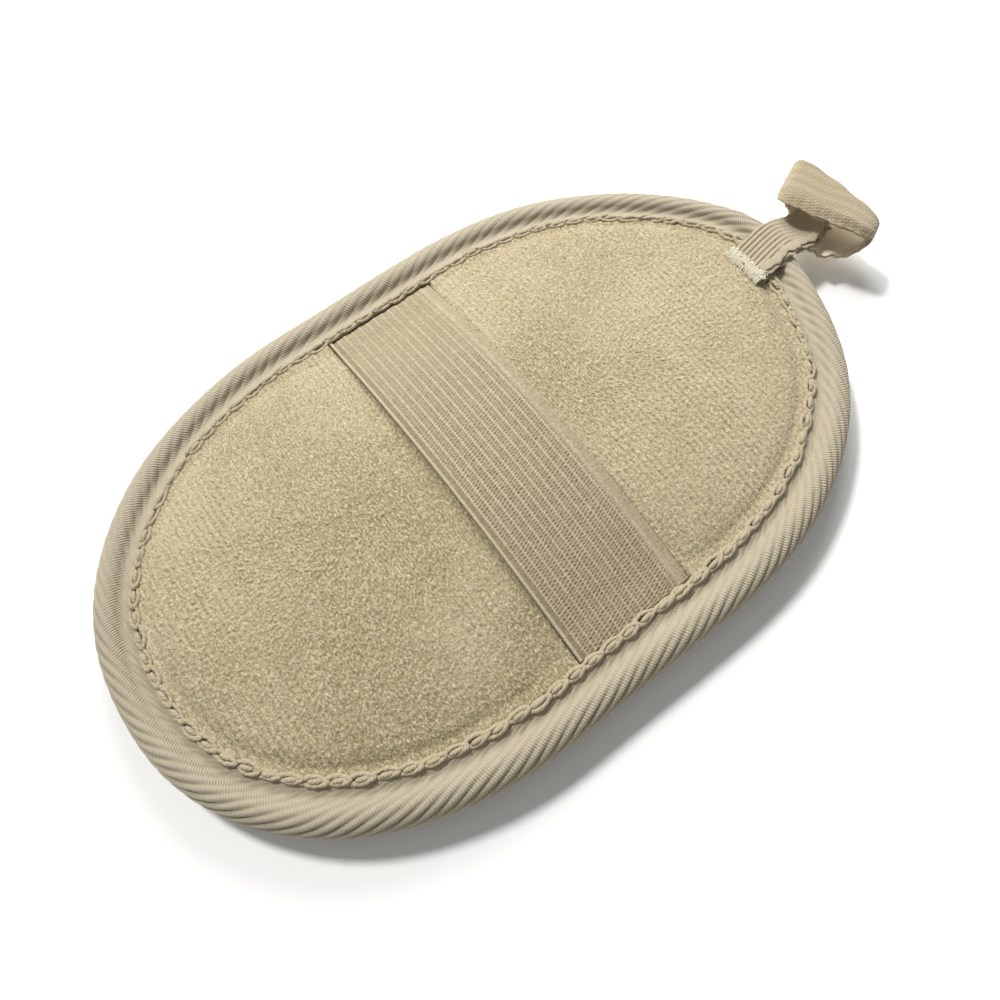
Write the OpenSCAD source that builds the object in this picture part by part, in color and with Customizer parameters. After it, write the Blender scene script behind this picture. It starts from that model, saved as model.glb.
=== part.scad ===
// Oval loofah back scrubber: a loofah face and a terry back sewn round a foam
// pad inside a ribbed cotton binding, with an elastic hand strap across the
// short axis and a hanging loop of the same folded tape at one end.
// X is the long axis, towards the hanging loop. Z is up, from the loofah face
// to the terry face. The origin is the middle of the loofah face, at the bottom.

/* [Pad outline] */
// Overall length of the pad over the binding
pad_length = 180; // [150:1:220]
// Overall width of the pad over the binding
pad_width = 114.8; // [100:0.2:150]
// Half-length of the straight run in the middle of each long side
side_straight = 18; // [18:1:30]
// Roundness of the ends, 2 is an ellipse
end_power = 2.15; // [2:0.05:2.6]

/* [Layers] */
// Height of the crown of the terry face in the middle
crown_z = 16; // [14:0.5:20]
// Thickness of the loofah sheet in the middle
loofah_t = 4.4; // [4:0.1:4.5]
// Thickness of the terry cloth
terry_t = 2.05; // [1.2:0.05:2.5]

/* [Binding] */
// Distance the binding tape reaches in from the edge, on each face
binding_reach = 10.4; // [9.6:0.1:10.4]
// Thickness of the binding tape
binding_t = 0.9; // [0.6:0.05:0.9]
// Number of stitches round the binding
stitch_count = 94; // [60:2:100]
// Distance of the stitch line in from the edge
stitch_in = 9.3; // [8.6:0.1:9.5]

/* [Hand strap] */
// Width of the elastic
strap_width = 28.4; // [20:0.2:32]
// Thickness of the elastic
strap_t = 1.5; // [1.2:0.1:1.6]
// Offset of the strap from the middle of the pad
strap_x = 3.2; // [0:0.1:3.4]
// Number of rubber threads in the elastic
rubber_count = 12; // [8:1:14]
// Diameter of one rubber thread
rubber_d = 0.6; // [0.4:0.05:0.7]

/* [Hanging loop] */
// Width of the loop tape
loop_width = 11.6; // [9:0.1:12]
// Thickness of the two layers of tape
loop_t = 1.6; // [1.2:0.1:1.6]
// Length of the loop's ring
ring_length = 25; // [22:0.5:28]
// Height of the loop's ring
ring_height = 10; // [9.5:0.1:10.5]
// Turn of the ring about the vertical
ring_turn = 23.8; // [15:0.1:26]

/* [Hidden] */

A = pad_length/2 - side_straight;      // half-length of one round end
B = pad_width/2;                       // half-width
n = end_power;
hw = strap_width/2;
strap_end_y = B - 11.2;                // where the free span meets its sewn ends
strap_low = 8.05;                      // underside of the span at its ends
strap_high = 15.9;                     // underside of the span in the middle
arc_rise = strap_high - strap_low;
arc_r = (strap_end_y*strap_end_y + arc_rise*arc_rise)/(2*arc_rise);
arc_c = strap_high - arc_r;            // height of the centre of the strap's arc
function arc_z(y) = arc_c + sqrt(arc_r*arc_r - min(y*y, strap_end_y*strap_end_y));
function sgn(v) = v < 0 ? -1 : 1;

// One station of the outline: [x, y, normal x, normal y, x of the spine, under the strap]
function end_station(t, side) =
    let (c = cos(t), s = sin(t),
         px = pow(abs(c), 2/n), py = pow(abs(s), 2/n)*sgn(s),
         gx = pow(px, n-1)/A, gy = pow(abs(py), n-1)*sgn(py)/B, g = norm([gx, gy]))
    [side*(side_straight + A*px), B*py, side*gx/g, gy/g,
     side*(side_straight + 17*px), 0];
function side_station(x, up) = [x, up*B, 0, up, x, abs(x - strap_x) < hw + 0.35 ? 1 : 0];
strap_xs = [side_straight - 0.05, strap_x + hw + 0.38, strap_x + hw + 0.3, strap_x + hw/2,
            strap_x, strap_x - hw/2, strap_x - hw - 0.3, strap_x - hw - 0.38, -side_straight + 0.05];
// The outline runs from the loop end, along +Y, round the far end and back along -Y
steps = 15;
stations = concat(
    [for (i = [0:steps-1]) end_station(i*90/steps, 1)],
    [end_station(90, 1)], [for (x = strap_xs) side_station(x, 1)], [end_station(90, -1)],
    [for (i = [steps-1:-1:1]) end_station(i*90/steps, -1)],
    [end_station(0, -1)],
    [for (i = [1:steps-1]) end_station(-i*90/steps, -1)],
    [end_station(-90, -1)],
    [for (i = [len(strap_xs)-1:-1:0]) side_station(strap_xs[i], -1)], [end_station(-90, 1)],
    [for (i = [steps-1:-1:1]) end_station(-i*90/steps, 1)]);
N = len(stations);

// A point of the pad, d inside the outline
edge_d = 15;
function inset(s, d) = [s[0] - s[2]*d, s[1] - s[3]*d];
function pad_point(s, d, f) = d < edge_d ? inset(s, d)
    : let (e = inset(s, edge_d)) [e[0]*(1-f) + s[4]*f, e[1]*(1-f)];

// Rings of the grid: [distance in from the edge, share of the way from there to the spine]
rings = [[2.6, 0], [10.6, 0], [11, 0], [12.6, 0], [edge_d, 0], [edge_d, 0.2], [edge_d, 0.45], [edge_d, 0.75]];
rings_strap_low = 7.9;

// Heights of the layers' faces
function crown(r) = r[0] < 11 ? 9.3 : r[0] < 12 ? 9.6 : r[0] < edge_d ? 10.7
    : 11.8 + (crown_z - 11.8)*(1 - pow(1 - r[1], 2));
function terry_top(s, r, y) = s[5] == 0 ? crown(r)
    : r[0] < 12 ? min(crown(r), rings_strap_low) : min(crown(r), arc_z(y) - 0.32);
function terry_low(s, r, y) = let (c = terry_top(s, r, y)) max(7.22, r[0] < 12 ? 7.22 : c - terry_t);
function loofah_low(s, r) = r[0] < 11 ? 1.85 : r[0] < 12 ? 1.2 : r[0] < edge_d ? 0.3 : 0;

// Closed solid between an upper and a lower face over the pad's grid.
// kind 0 is the terry, 1 the foam and 2 the loofah
function top_z(kind, s, r, y) = kind == 0 ? terry_top(s, r, y)
    : kind == 1 ? terry_low(s, r, y) - 0.04 : loofah_t;
function low_z(kind, s, r, y) = kind == 0 ? terry_low(s, r, y)
    : kind == 1 ? loofah_t + 0.04 : loofah_low(s, r);
J = len(rings);
module layer(kind) {
    pts = concat(
        [for (r = rings) for (s = stations) let (p = pad_point(s, r[0], r[1])) [p[0], p[1], top_z(kind, s, r, p[1])]],
        [for (r = rings) for (s = stations) let (p = pad_point(s, r[0], r[1])) [p[0], p[1], low_z(kind, s, r, p[1])]]);
    up = function (j, i) j*N + i % N;
    lo = function (j, i) J*N + j*N + i % N;
    polyhedron(pts, concat(
        [for (j = [0:J-2]) for (i = [0:N-1]) each [[up(j, i), up(j+1, i), up(j, i+1)], [up(j, i+1), up(j+1, i), up(j+1, i+1)]]],
        [for (j = [0:J-2]) for (i = [0:N-1]) each [[lo(j, i), lo(j, i+1), lo(j+1, i)], [lo(j, i+1), lo(j+1, i+1), lo(j+1, i)]]],
        [for (i = [0:N-1]) each [[up(0, i), up(0, i+1), lo(0, i)], [up(0, i+1), lo(0, i+1), lo(0, i)]]],
        // the middle, filled across from one long side to the other
        [[up(J-1, 0), up(J-1, N-1), up(J-1, 1)], [up(J-1, N/2), up(J-1, N/2-1), up(J-1, N/2+1)]],
        [[lo(J-1, 0), lo(J-1, 1), lo(J-1, N-1)], [lo(J-1, N/2), lo(J-1, N/2+1), lo(J-1, N/2-1)]],
        [for (i = [1:N/2-2]) each [[up(J-1, i), up(J-1, N-i), up(J-1, i+1)], [up(J-1, i+1), up(J-1, N-i), up(J-1, N-i-1)]]],
        [for (i = [1:N/2-2]) each [[lo(J-1, i), lo(J-1, i+1), lo(J-1, N-i)], [lo(J-1, i+1), lo(J-1, N-i-1), lo(J-1, N-i)]]]),
        convexity = 4);
}

// Section of the folded binding: [distance in from the edge, height]
tape_out = [[binding_reach, 10.35], [8.6, 10.35], [7.4, 10.22], [6.2, 10.65], [4.8, 11.15], [3.5, 11.3],
            [2.0, 10.8], [0.8, 9.4], [0.1, 7.5], [0, 5.7], [0.1, 4.0], [0.8, 2.2], [2.0, 0.9],
            [3.5, 0.4], [5.2, 0.55], [7.4, 0.9], [binding_reach, 0.9]];
tape_in = [[binding_reach, 1.8], [7.2, 1.8], [5.2, 1.5], [3.6, 1.3], [2.5, 1.7], [1.6, 2.8], [1.0, 4.2], [0.9, 5.7],
           [1.0, 7.3], [1.6, 8.8], [2.6, 9.95], [3.6, 10.35], [4.8, 10.2], [6.0, 9.75], [7.3, 9.38], [binding_reach, 9.38]];
tape = concat(tape_out, tape_in);
ring_stations = [for (i = [0:N-1]) let (s = stations[i]) if (abs(s[0]) > side_straight - 0.02 || abs(s[0] - strap_x) < 1) s];

// A closed ring swept round the outline from a section of [inset, height] points
module swept_ring(section, path) {
    M = len(section); K = len(path);
    pts = [for (s = path) for (q = section) let (p = inset(s, q[0])) [p[0], p[1], q[1]]];
    at = function (k, m) (k % K)*M + m % M;
    polyhedron(pts, [for (k = [0:K-1]) for (m = [0:M-1])
        each [[at(k, m), at(k, m+1), at(k+1, m)], [at(k+1, m), at(k, m+1), at(k+1, m+1)]]], convexity = 6);
}

// A thread that follows the outline with one wave for each stitch
function out_at(a) =   // the station at the angle a about the middle, on the true outline
    let (c = cos(a), s = sin(a), px = pow(abs(c), 2/n), py = pow(abs(s), 2/n)*sgn(s),
         gx = pow(px, n-1)/A, gy = pow(abs(py), n-1)*sgn(py)/B, g = norm([gx, gy]), side = sgn(c))
    [side*(side_straight + A*px), B*py, side*gx/g, gy/g];
// Even spacing: each quarter is one end arc of about 100 mm and a straight of 18 mm
arc_share = 0.85;
function even_station(u) =   // u from 0 to 1 round the whole outline
    let (q = floor(u*4) % 4, v = u*4 - floor(u*4),
         w = (q == 0 || q == 2) ? v : 1 - v,
         k = min(w/arc_share, 1), t = 90*k, c = cos(t), s = sin(t),
         px = pow(abs(c), 2/n), py = pow(abs(s), 2/n),
         gx = pow(px, n-1)/A, gy = pow(py, n-1)/B, g = norm([gx, gy]),
         x = w <= arc_share ? side_straight + A*px : side_straight*(1 - (w - arc_share)/(1 - arc_share)),
         sx = (q == 0 || q == 3) ? 1 : -1, sy = q < 2 ? 1 : -1)
    [sx*x, sy*(w <= arc_share ? B*py : B), w <= arc_share ? sx*gx/g : 0, sy*(w <= arc_share ? gy/g : 1)];

module thread_ring(r, z, wave_in, wave_up, per) {
    K = stitch_count*per;
    sides = 6;
    pts = [for (k = [0:K-1]) let (s = even_station(k/K), a = 360*k/per,
                di = stitch_in + wave_in*sin(a), zi = z + wave_up*cos(a))
           for (m = [0:sides-1]) let (p = inset(s, di + r*cos(360*m/sides))) [p[0], p[1], zi + r*sin(360*m/sides)]];
    at = function (k, m) (k % K)*sides + m % sides;
    polyhedron(pts, [for (k = [0:K-1]) for (m = [0:sides-1])
        each [[at(k, m), at(k+1, m), at(k, m+1)], [at(k+1, m), at(k+1, m+1), at(k, m+1)]]], convexity = 6);
}

module loofah_face() { color([0.85, 0.76, 0.55]) layer(2); }
module foam_core() { color([0.93, 0.9, 0.78]) layer(1); }
module terry_back_panel() { color([0.76, 0.71, 0.58]) layer(0); }
module edge_binding() { color([0.74, 0.69, 0.59]) swept_ring(tape, ring_stations); }
module chain_stitch_looper_thread() { color([0.88, 0.84, 0.72]) thread_ring(0.4, 10.86, 0.45, 0.06, 3); }
module chain_stitch_needle_thread() { color([0.88, 0.84, 0.72]) thread_ring(0.28, 0.54, 0, 0.04, 2); }

// The strap's ends, flat between the terry and the binding
module sewn_end(side) {
    translate([strap_x - hw, side > 0 ? strap_end_y + 0.9 : -strap_end_y - 0.9 - 5.8, strap_low - 0.05])
        difference() {
            cube([strap_width, 5.8, 1.32]);
            // the holes that the tack stitches pass through
            for (i = [0:8]) translate([2.2 + i*3, side > 0 ? 3.8 : 2, -1]) cylinder(d = 0.62, h = 4, $fn = 16);
        }
}
module strap_sewn_end_near() { color([0.7, 0.64, 0.53]) sewn_end(-1); }
module strap_sewn_end_far() { color([0.7, 0.64, 0.53]) sewn_end(1); }
// Short stitches that tack each end of the strap before the binding goes on
module tack(side) {
    y0 = side > 0 ? strap_end_y + 0.9 + 3.8 : -strap_end_y - 0.9 - 5.8 + 2;
    for (i = [0:8]) translate([strap_x - hw + 2.2 + i*3, y0, strap_low - 0.05]) cylinder(d = 0.6, h = 1.32, $fn = 16);
}
module strap_tack_stitches_near() { color([0.88, 0.84, 0.72]) tack(-1); }
module strap_tack_stitches_far() { color([0.88, 0.84, 0.72]) tack(1); }

// The free span lies on the crown as an arc about a line along X
arc_half = asin(strap_end_y/arc_r);
pitch = (strap_width - 3.44)/rubber_count;
module bent(angle) {
    translate([0, 0, arc_c]) rotate([0, -90, 0]) rotate([0, 0, -angle])
        rotate_extrude(angle = 2*angle, $fn = 200) children();
}
module hand_strap_web() {
    color([0.7, 0.64, 0.53]) bent(arc_half) difference() {
        translate([arc_r, -strap_x - hw]) square([strap_t, strap_width]);
        for (i = [0:rubber_count-1])
            translate([arc_r + strap_t/2, -strap_x + (i - (rubber_count-1)/2)*pitch]) circle(d = rubber_d + 0.04, $fn = 24);
    }
}
module hand_strap_rubber_threads() {
    color([0.82, 0.8, 0.74]) bent(arc_half - 0.1)
        for (i = [0:rubber_count-1])
            translate([arc_r + strap_t/2, -strap_x + (i - (rubber_count-1)/2)*pitch]) circle(d = rubber_d, $fn = 24);
}

// The tape's tail lies over the binding at the loop end
tail_y = 1.1;
tail_low = [[80.4, 11.44], [84.0, 11.44], [86.4, 11.46], [87.9, 11.3]];
module tape_block(low, t, w) {
    pts = concat(low, [for (i = [len(low)-1:-1:0]) [low[i][0], low[i][1] + t]]);
    translate([0, tail_y + w/2, 0]) rotate([90, 0, 0]) linear_extrude(w) polygon(pts);
}
module hanging_loop_sewn_tail() {
    color([0.76, 0.71, 0.61]) difference() {
        tape_block(tail_low, loop_t, loop_width);
        for (p = tack_points) translate([p[0], p[1], 5]) cylinder(d = 0.74, h = 10, $fn = 16);
    }
}
// A bar of thick stitches through the tail, on the cut end of the tape
tack_points = [for (i = [0:4]) [82.7, tail_y - 4 + i*2]];
module hanging_loop_bartack() {
    color([0.88, 0.86, 0.79])
        for (p = tack_points) {
            translate([p[0], p[1], 10.5]) cylinder(d = 0.7, h = 2.7, $fn = 16);
            translate([p[0] - 0.75, p[1] - 0.4, 13.08]) cube([1.5, 0.8, 0.4]);
        }
}

// The two legs of the loop run out from the edge to the ring's lower run
ring_c = [106.3, 1.8];
fold_x = 89.5;    // the fold line that the loop swings about
fold_z = 12.3;
leg_mid = [[91.1, 11.6], [92.6, 11.3], [94.2, 10.5], [95.8, 9.4], [97.4, 8.55], [99.5, 8.15], [105, 8.1]];
function leg_n(i) = let (a = leg_mid[max(i-1, 0)], b = leg_mid[min(i+1, len(leg_mid)-1)], d = b - a) [-d[1], d[0]]/norm(d);
module hanging_loop_legs() {
    color([0.76, 0.71, 0.61]) difference() {
        translate([0, tail_y + loop_width/2, 0]) rotate([90, 0, 0]) linear_extrude(loop_width)
            polygon(concat([for (i = [0:len(leg_mid)-1]) leg_mid[i] - leg_n(i)*loop_t/2],
                           [for (i = [len(leg_mid)-1:-1:0]) leg_mid[i] + leg_n(i)*loop_t/2]));
        translate([ring_c[0], ring_c[1], -5]) rotate([0, 0, ring_turn])
            translate([-loop_width/2 - 0.8, -30, 0]) cube([40, 60, 30]);
    }
}
module stadium(l, h) {
    translate([-(l - h)/2, -h/2]) square([l - h, h]);
    for (s = [-1, 1]) translate([s*(l - h)/2, 0]) circle(d = h, $fn = 64);
}
module hanging_loop_ring() {
    color([0.76, 0.71, 0.61])
        translate([ring_c[0], ring_c[1], 5.6 + ring_height/2]) rotate([0, 0, ring_turn]) rotate([90, 0, 90])
            translate([0, 0, -loop_width/2]) linear_extrude(loop_width) difference() {
                stadium(ring_length, ring_height);
                stadium(ring_length - 2*loop_t, ring_height - 2*loop_t);
            }
}

loofah_face();
foam_core();
terry_back_panel();
edge_binding();
chain_stitch_looper_thread();
chain_stitch_needle_thread();
strap_sewn_end_near();
strap_sewn_end_far();
strap_tack_stitches_near();
strap_tack_stitches_far();
hand_strap_web();
hand_strap_rubber_threads();
hanging_loop_sewn_tail();
hanging_loop_bartack();
hanging_loop_legs();
hanging_loop_ring();
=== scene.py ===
import bpy
import math
import numpy as np
from mathutils import Matrix, Vector
from mathutils.bvhtree import BVHTree


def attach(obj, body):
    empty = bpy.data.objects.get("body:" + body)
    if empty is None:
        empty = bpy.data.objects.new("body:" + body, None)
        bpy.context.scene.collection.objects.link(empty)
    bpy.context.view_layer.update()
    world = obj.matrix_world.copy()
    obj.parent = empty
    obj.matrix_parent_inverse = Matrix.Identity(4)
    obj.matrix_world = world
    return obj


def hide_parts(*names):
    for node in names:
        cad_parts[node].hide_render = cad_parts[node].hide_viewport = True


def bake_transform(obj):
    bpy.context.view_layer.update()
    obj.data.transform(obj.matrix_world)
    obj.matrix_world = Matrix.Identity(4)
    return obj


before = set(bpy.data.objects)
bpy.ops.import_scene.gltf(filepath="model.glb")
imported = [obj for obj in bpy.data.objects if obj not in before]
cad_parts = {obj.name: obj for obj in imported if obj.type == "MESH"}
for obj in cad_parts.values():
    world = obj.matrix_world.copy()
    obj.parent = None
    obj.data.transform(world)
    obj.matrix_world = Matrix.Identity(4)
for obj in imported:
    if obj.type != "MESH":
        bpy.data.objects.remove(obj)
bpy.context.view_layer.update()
MM = 0.001
rng = np.random.default_rng(7)
scene = bpy.context.scene

# ---------------------------------------------------------------- camera
cam_data = bpy.data.cameras.new("camera")
cam = bpy.data.objects.new("camera", cam_data)
scene.collection.objects.link(cam)
scene.camera = cam
right = Vector((0.801271, -0.596421, -0.047394)).normalized()
forward = Vector((0.199161, 0.340583, -0.918879)).normalized()
up = right.cross(forward).normalized()
F_PX, CX, CY = 765.8854, -14.0459, -21.6785
place = Matrix((
    (right.x, up.x, -forward.x, -0.0352887),
    (right.y, up.y, -forward.y, -0.0603469),
    (right.z, up.z, -forward.z, 0.1628132),
    (0, 0, 0, 1)))
cam.matrix_world = place
cam_data.sensor_fit = "HORIZONTAL"
cam_data.sensor_width = 36.0
cam_data.lens = F_PX * 36.0 / 1000.0
cam_data.shift_x = -CX / 1000.0
cam_data.shift_y = CY / 1000.0
cam_data.clip_start = 0.005
cam_data.dof.use_dof = False

# ---------------------------------------------------------------- the pad's outline, in millimetres
A, B, ST, POW = 72.0, 57.4, 18.0, 2.15
STRAP_X, STRAP_HW, STRAP_T = 3.2, 14.2, 1.5
END_Y = B - 11.2
LOW, HIGH = 8.05, 15.9
RISE = HIGH - LOW
ARC_R = (END_Y ** 2 + RISE ** 2) / (2 * RISE)
ARC_C = HIGH - ARC_R


def arc_z(y):
    y = np.minimum(np.abs(y), END_Y)
    return ARC_C + np.sqrt(ARC_R ** 2 - y ** 2)


def outline(m, start=0.0):
    """m evenly spaced stations from the loop end round by +Y: points, outward normals and distances along the edge."""
    t = np.linspace(0, math.pi / 2, 4001)
    c, s = np.cos(t), np.sin(t)
    px, py = c ** (2 / POW), s ** (2 / POW)
    x, y = ST + A * px, B * py
    gx, gy = px ** (POW - 1) / A, py ** (POW - 1) / B
    g = np.hypot(gx, gy)
    nx, ny = gx / g, gy / g
    xs = np.linspace(ST, 0, 200)[1:]
    x = np.concatenate([x, xs])
    y = np.concatenate([y, np.full(len(xs), B)])
    nx = np.concatenate([nx, np.zeros(len(xs))])
    ny = np.concatenate([ny, np.ones(len(xs))])
    q = np.stack([x, y, nx, ny], 1)
    flip_x = q[::-1] * np.array([-1, 1, -1, 1])
    half = np.concatenate([q, flip_x[1:]])
    flip_y = half[::-1] * np.array([1, -1, 1, -1])
    full = np.concatenate([half, flip_y[1:]])
    d = np.concatenate([[0], np.cumsum(np.hypot(*(np.diff(full[:, :2], axis=0).T)))])
    total = d[-1]
    at = (np.arange(m) / m * total + start) % total
    out = np.stack([np.interp(at, d, full[:, k]) for k in range(4)], 1)
    out[:, 2:] /= np.linalg.norm(out[:, 2:], axis=1)[:, None]
    return out[:, :2], out[:, 2:], at, total


PERIMETER = outline(8)[3]


def depth(x, y):
    """Roughly how far a point is inside the outline."""
    xa = np.maximum(np.abs(x) - ST, 0)
    ya = np.abs(y)
    rho = ((xa / A) ** POW + (ya / B) ** POW) ** (1 / POW) + 1e-9
    return (1 - rho) / rho * np.hypot(xa, ya) + (rho < 1e-6) * B


STITCHES = 94


def stitch_line(m):
    """m evenly spaced stations along the stitch line, 9.7 mm inside the outline: outline points, normals, distances."""
    p, nrm, _, _ = outline(6000)
    p, nrm = np.concatenate([p, p[:1]]), np.concatenate([nrm, nrm[:1]])
    d = np.concatenate([[0], np.cumsum(np.hypot(*(np.diff(p - nrm * 9.7, axis=0).T)))])
    at = np.arange(m) / m * d[-1]
    p = np.stack([np.interp(at, d, p[:, k]) for k in range(2)], 1)
    nrm = np.stack([np.interp(at, d, nrm[:, k]) for k in range(2)], 1)
    return p, nrm / np.linalg.norm(nrm, axis=1)[:, None], at, d[-1]


def smooth(v, a, b):
    t = np.clip((v - a) / (b - a), 0, 1)
    return t * t * (3 - 2 * t)


# ---------------------------------------------------------------- mesh helpers
def new_object(name, co, faces, uv=None, flat=(), attrs=None):
    me = bpy.data.meshes.new(name)
    co = np.asarray(co, np.float64)
    me.vertices.add(len(co))
    me.vertices.foreach_set("co", (co * MM).astype(np.float32).ravel())
    shade = np.concatenate([np.full(len(f), k not in flat) for k, f in enumerate(faces) if len(f)])
    faces = [np.asarray(f, np.int32) for f in faces if len(f)]
    loops = np.concatenate([f.ravel() for f in faces])
    sizes = np.concatenate([np.full(len(f), f.shape[1], np.int32) for f in faces])
    starts = np.concatenate([[0], np.cumsum(sizes)[:-1]]).astype(np.int32)
    me.loops.add(len(loops))
    me.loops.foreach_set("vertex_index", loops)
    me.polygons.add(len(sizes))
    me.polygons.foreach_set("loop_start", starts)
    me.polygons.foreach_set("loop_total", sizes)
    if uv is not None:
        layer = me.uv_layers.new(name="UVMap")
        layer.data.foreach_set("uv", np.asarray(uv, np.float32)[loops].ravel())
    if attrs:
        for k, v in attrs.items():
            a = me.attributes.new(k, "FLOAT", "POINT")
            a.data.foreach_set("value", np.asarray(v, np.float32))
    me.polygons.foreach_set("use_smooth", shade)
    me.update()
    me.validate()
    ob = bpy.data.objects.new(name, me)
    scene.collection.objects.link(ob)
    return ob


def ring_grid(nu, nv, base=0, wrap_u=True, wrap_v=True):
    """Quads over nu rows of nv points each."""
    i = np.arange(nu if wrap_u else nu - 1)[:, None]
    j = np.arange(nv if wrap_v else nv - 1)[None, :]
    a = i * nv + j
    b = i * nv + (j + 1) % nv
    c = ((i + 1) % nu) * nv + (j + 1) % nv
    d = ((i + 1) % nu) * nv + j
    return np.stack([a, b, c, d], -1).reshape(-1, 4) + base


def cap(top, bottom):
    """Closes the end of a strip: quads and triangles between its top row and its shorter bottom row, both in one direction."""
    top, bottom = np.asarray(top), np.asarray(bottom)
    n, k = len(top), len(bottom)
    j = np.round(np.linspace(0, k - 1, n)).astype(int)
    quads, tris = [], []
    for i in range(n - 1):
        if j[i] == j[i + 1]:
            tris.append([top[i], top[i + 1], bottom[j[i]]])
        else:
            quads.append([top[i], top[i + 1], bottom[j[i + 1]], bottom[j[i]]])
    return np.array(quads).reshape(-1, 4), np.array(tris).reshape(-1, 3)


def tubes(paths, radius, sides=6, closed=False):
    """Many tubes of one length of path each: paths is (count, points, 3) and radius (count, points) or a number."""
    paths = np.asarray(paths, float)
    c, m, _ = paths.shape
    if closed:
        t = np.roll(paths, -1, 1) - np.roll(paths, 1, 1)
    else:
        t = np.gradient(paths, axis=1)
    t /= np.linalg.norm(t, axis=2)[..., None] + 1e-12
    ref = np.zeros_like(t)
    ref[..., 2] = 1.0
    steep = np.abs(t[..., 2]) > 0.95
    n1 = np.cross(ref, t)
    n1[steep] = np.cross(np.array([1.0, 0, 0]), t[steep])
    n1 /= np.linalg.norm(n1, axis=2)[..., None] + 1e-12
    n2 = np.cross(t, n1)
    a = np.arange(sides) / sides * 2 * math.pi
    r = np.broadcast_to(np.asarray(radius, float), (c, m))[..., None, None]
    ring = paths[:, :, None, :] + r * (np.cos(a)[None, None, :, None] * n1[:, :, None, :]
                                       + np.sin(a)[None, None, :, None] * n2[:, :, None, :])
    co = ring.reshape(-1, 3)
    quads = []
    per = m * sides
    g = ring_grid(m, sides, wrap_u=closed)
    quads = (g[None] + (np.arange(c) * per)[:, None, None]).reshape(-1, 4)
    faces = [quads]
    if not closed:
        cap = np.arange(sides)
        k = (np.arange(c) * per)[:, None]
        if sides == 4:
            faces.append(cap[::-1][None] + k)
            faces.append(cap[None] + k + (m - 1) * sides)
        elif sides == 6:
            faces.append(cap[::-1][None] + k)
            faces.append(cap[None] + k + (m - 1) * sides)
        else:
            faces.append(cap[::-1][None] + k)
            faces.append(cap[None] + k + (m - 1) * sides)
    return co, faces


def value_noise(shape, cell, seed):
    """Smooth random height in 0..1 over a grid of shape points, with features of cell points."""
    r = np.random.default_rng(seed)
    h, w = shape
    gh, gw = int(h / cell) + 3, int(w / cell) + 3
    g = r.random((gh, gw))
    y = np.arange(h) / cell
    x = np.arange(w) / cell
    yi, xi = y.astype(int), x.astype(int)
    fy, fx = y - yi, x - xi
    fy = fy * fy * (3 - 2 * fy)
    fx = fx * fx * (3 - 2 * fx)
    a = g[yi][:, xi]
    b = g[yi][:, xi + 1]
    c = g[yi + 1][:, xi]
    d = g[yi + 1][:, xi + 1]
    return (a * (1 - fx) + b * fx) * (1 - fy[:, None]) + (c * (1 - fx) + d * fx) * fy[:, None]


# ---------------------------------------------------------------- materials
def srgb(r, g, b):
    return [((v / 255.0) / 12.92 if v / 255.0 <= 0.04045 else ((v / 255.0 + 0.055) / 1.055) ** 2.4) for v in (r, g, b)]


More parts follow.
